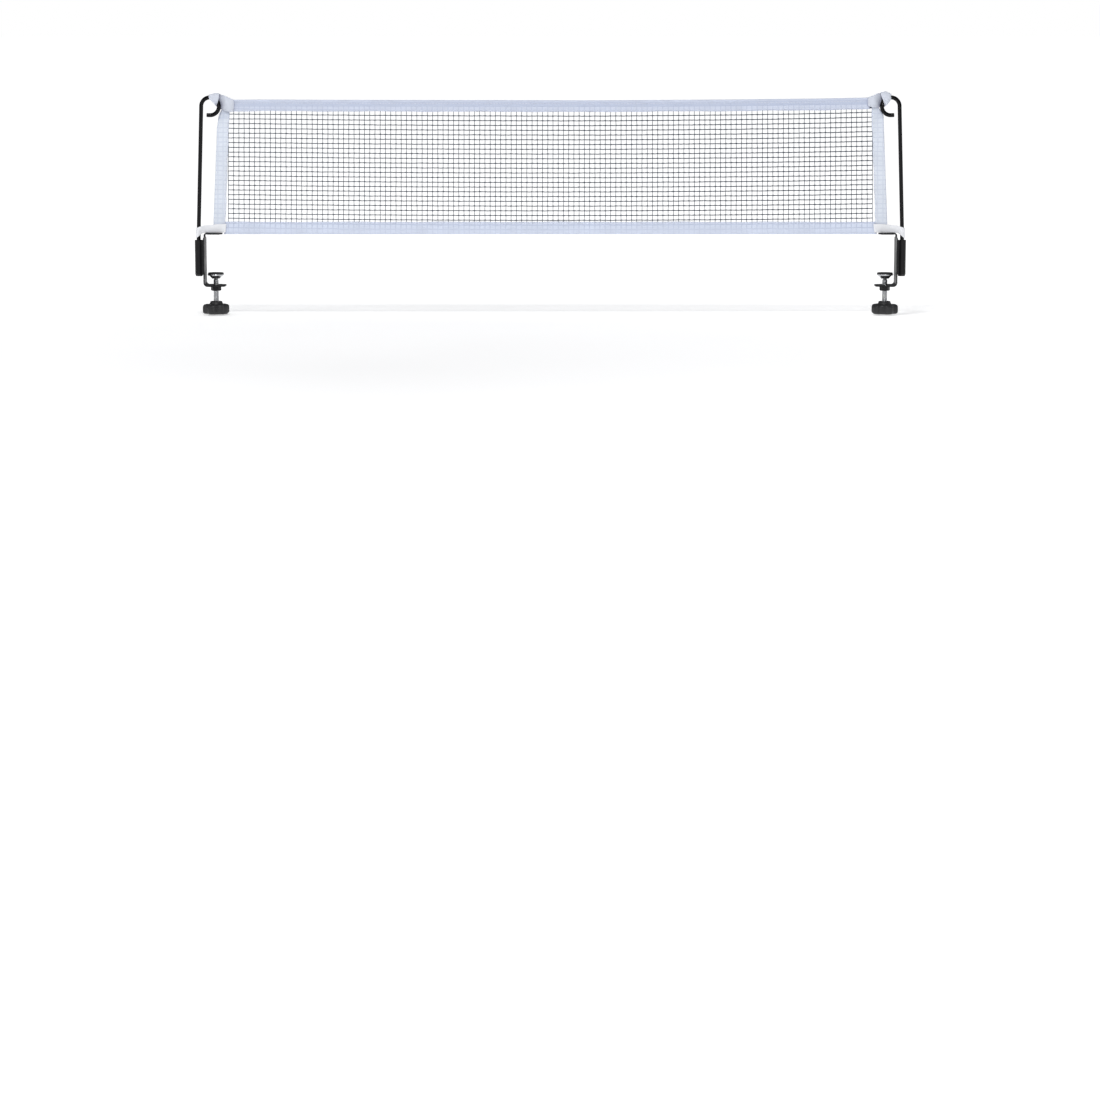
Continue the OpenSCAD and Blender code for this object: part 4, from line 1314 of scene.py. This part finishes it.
def jaw_pad_mesh(name, k):
    """Thin felt strip with rounded corners and a slightly lumpy edge."""
    x0, x1, hy = 365.0, 379.0, 4.0
    cy = POST_Y
    out = fillet([(x0, -hy), (x1, -hy), (x1, hy), (x0, hy)], [1.4] * 4, steps=8, closed=True)
    c = np.array([(x0 + x1) / 2, 0])
    n = len(out)
    fr = [0.0, 0.35, 0.7, 0.92, 0.985, 1.0]
    rings = []
    for z, fs in ((0.0, fr), (0.3, fr[::-1])):
        for i, f in enumerate(fs):
            p = c + (out - c) * f
            inset = 0.07 if f < 1 else 0.0
            zz = z + (0.06 if z == 0 else -0.06) * (f == 1.0) + (0.012 * np.sin(p[:, 0] * 5 + p[:, 1] * 7) if 0 < f < 1 else 0)
            zz = np.clip(zz, 0.0, 0.3)
            wob = 1 + 0.006 * np.sin(np.arange(n) * 1.9 + k) * (f == 1.0)
            q = c + (p - c) * np.expand_dims(np.broadcast_to(wob, (n,)), 1)
            rings.append(np.stack([k * q[:, 0], cy + q[:, 1], np.broadcast_to(zz, (n,))], 1))
    V = np.array(rings)
    return make(name, V.reshape(-1, 3), grid_quads(len(rings), n, close_v=True))


for k, name in ((-1, "left"), (1, "right")):
    for part in ("clamp_frame", "post_socket", "weld_nut"):
        soften(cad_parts[f"{name}_{part}"], M_POWDER, width=0.32 if part == "clamp_frame" else 0.25)
    soften(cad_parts[f"{name}_socket_plug"], M_PLUG, width=0.3)

    # weld beads: down both sides of the socket's foot, and round the nut
    pile = Pile()
    wx = k * (382.6 + 0.25)
    for s in (-1, 1):
        zz = np.linspace(-41.6, -8.6, 40)
        bead(pile, np.stack([np.full(40, wx), POST_Y + s * (3.2 + 0.15) + 0.10 * np.sin(zz * 1.3 + s), zz], 1), 0.85, seed=s + k)
    ob = finish_piece(pile.make(f"{name}_socket_weld"), M_BEAD, "clamp_frames")
    pile = Pile()
    for s in range(3):
        a0 = math.radians(30 + 120 * s)
        aa = np.linspace(a0, a0 + math.radians(46), 24)
        rr = 5.35
        bead(pile, np.stack([k * SCREW_X + rr * np.cos(aa), POST_Y + rr * np.sin(aa), np.full(24, -57.05)], 1), 0.62, pitch=1.0, seed=s)
    ob = finish_piece(pile.make(f"{name}_nut_weld"), M_BEAD, "clamp_frames")

    cx = k * SCREW_X
    finish_piece(jaw_pad_mesh(f"{name}_jaw_felt", k), M_FELT, "clamp_frames", [f"{name}_jaw_pad"])
    finish_piece(screw_mesh(f"{name}_screw_thread", cx, POST_Y), M_ZINC, f"{name}_screw", [f"{name}_clamp_screw"])
    finish_piece(knob_mesh(f"{name}_knob_grip", cx, POST_Y, 36 if k > 0 else 0), M_KNOB, f"{name}_screw", [f"{name}_knob"])
    finish_piece(cap_mesh(f"{name}_knob_end_cap", cx, POST_Y), M_CAP, f"{name}_screw", [f"{name}_knob_cap"])
    finish_piece(foot_mesh(f"{name}_foot_disc", cx, POST_Y), M_ZINC, f"{name}_foot", [f"{name}_pressure_foot"])
    finish_piece(foot_pad_mesh(f"{name}_foot_rubber", cx, POST_Y), M_RUBBER, f"{name}_foot", [f"{name}_foot_pad"])

# ---------------------------------------------------------------- stage and light

FLOOR_Z = -0.0890
me = bpy.data.meshes.new("floor")
S = 40.0
me.from_pydata([(-S, -S, FLOOR_Z), (S, -S, FLOOR_Z), (S, S, FLOOR_Z), (-S, S, FLOOR_Z)], [], [(0, 1, 2, 3)])
floor = bpy.data.objects.new("floor", me)
scene.collection.objects.link(floor)
fm = Mat("floor_paper", Roughness=0.9, Specular_IOR_Level=0.1)
fm.colour(fm.ramp(fm.noise(3, 2.0), [(0.3, (0.80, 0.80, 0.805)), (0.7, (0.83, 0.83, 0.835))]))
fm.bsdf.inputs["Emission Color"].default_value = (1, 1, 1, 1)
# the paper glows more away from the object, where the lamps don't reach, so it stays evenly pale
fx, fy, fz = fm.xyz()
far = fm.math("SQRT", fm.math("ADD", fm.math("POWER", fm.math("ABSOLUTE", fm.math("ADD", fx, 0.2)), 2.0), fm.math("POWER", fm.math("ABSOLUTE", fm.math("ADD", fy, 0.6)), 2.0)))
glow = fm.ramp(fm.math("DIVIDE", far, 4.0), [(0.0, 0.31), (0.125, 0.43), (0.25, 0.63), (0.4, 0.74), (0.62, 0.79), (1.0, 0.81)])
fm.put(glow, fm.bsdf.inputs["Emission Strength"])
me.materials.append(fm.mat)

world = bpy.data.worlds.new("studio")
scene.world = world
world.use_nodes = True
nt = world.node_tree
nt.nodes.clear()
out = nt.nodes.new("ShaderNodeOutputWorld")
lp = nt.nodes.new("ShaderNodeLightPath")
soft = nt.nodes.new("ShaderNodeBackground")
soft.inputs[0].default_value = (0.97, 0.98, 1.0, 1)
soft.inputs[1].default_value = 0.30
seen = nt.nodes.new("ShaderNodeBackground")
seen.inputs[0].default_value = (1, 1, 1, 1)
seen.inputs[1].default_value = 1.0
dark = nt.nodes.new("ShaderNodeBackground")
dark.inputs[0].default_value = (0.97, 0.98, 1.0, 1)
dark.inputs[1].default_value = 0.16
m1 = nt.nodes.new("ShaderNodeMixShader")
m2 = nt.nodes.new("ShaderNodeMixShader")
nt.links.new(lp.outputs["Is Glossy Ray"], m1.inputs[0])
nt.links.new(soft.outputs[0], m1.inputs[1])
nt.links.new(dark.outputs[0], m1.inputs[2])
nt.links.new(lp.outputs["Is Camera Ray"], m2.inputs[0])
nt.links.new(m1.outputs[0], m2.inputs[1])
nt.links.new(seen.outputs[0], m2.inputs[2])
nt.links.new(m2.outputs[0], out.inputs[0])


def softbox(name, where, target, size, power, colour=(1, 1, 1)):
    d = bpy.data.lights.new(name, "AREA")
    d.shape = "RECTANGLE"
    d.size, d.size_y = size
    d.energy = power
    d.color = colour
    o = bpy.data.objects.new(name, d)
    scene.collection.objects.link(o)
    o.location = where
    o.rotation_mode = "QUATERNION"
    o.rotation_quaternion = (Vector(target) - Vector(where)).to_track_quat("-Z", "Y")
    return o


softbox("overhead", (-0.45, -1.1, 2.1), (0, 0, 0), (0.5, 0.2), 21)
softbox("front", (0.6, -3.3, 1.3), (0, 0, 0.07), (0.22, 0.16), 9)
softbox("strip", (0.15, -4.7, 0.62), (0, 0, 0.05), (0.10, 0.9), 17)
softbox("left", (-2.4, -1.4, 1.2), (0, 0, 0.05), (0.25, 0.9), 6)
softbox("right", (2.6, 0.9, 1.3), (0, 0, 0.05), (0.3, 1.0), 5)

scene.view_settings.view_transform = "Standard"
scene.view_settings.look = "None"
scene.view_settings.exposure = 0.0
scene.view_settings.gamma = 1.0

bpy.context.view_layer.update()
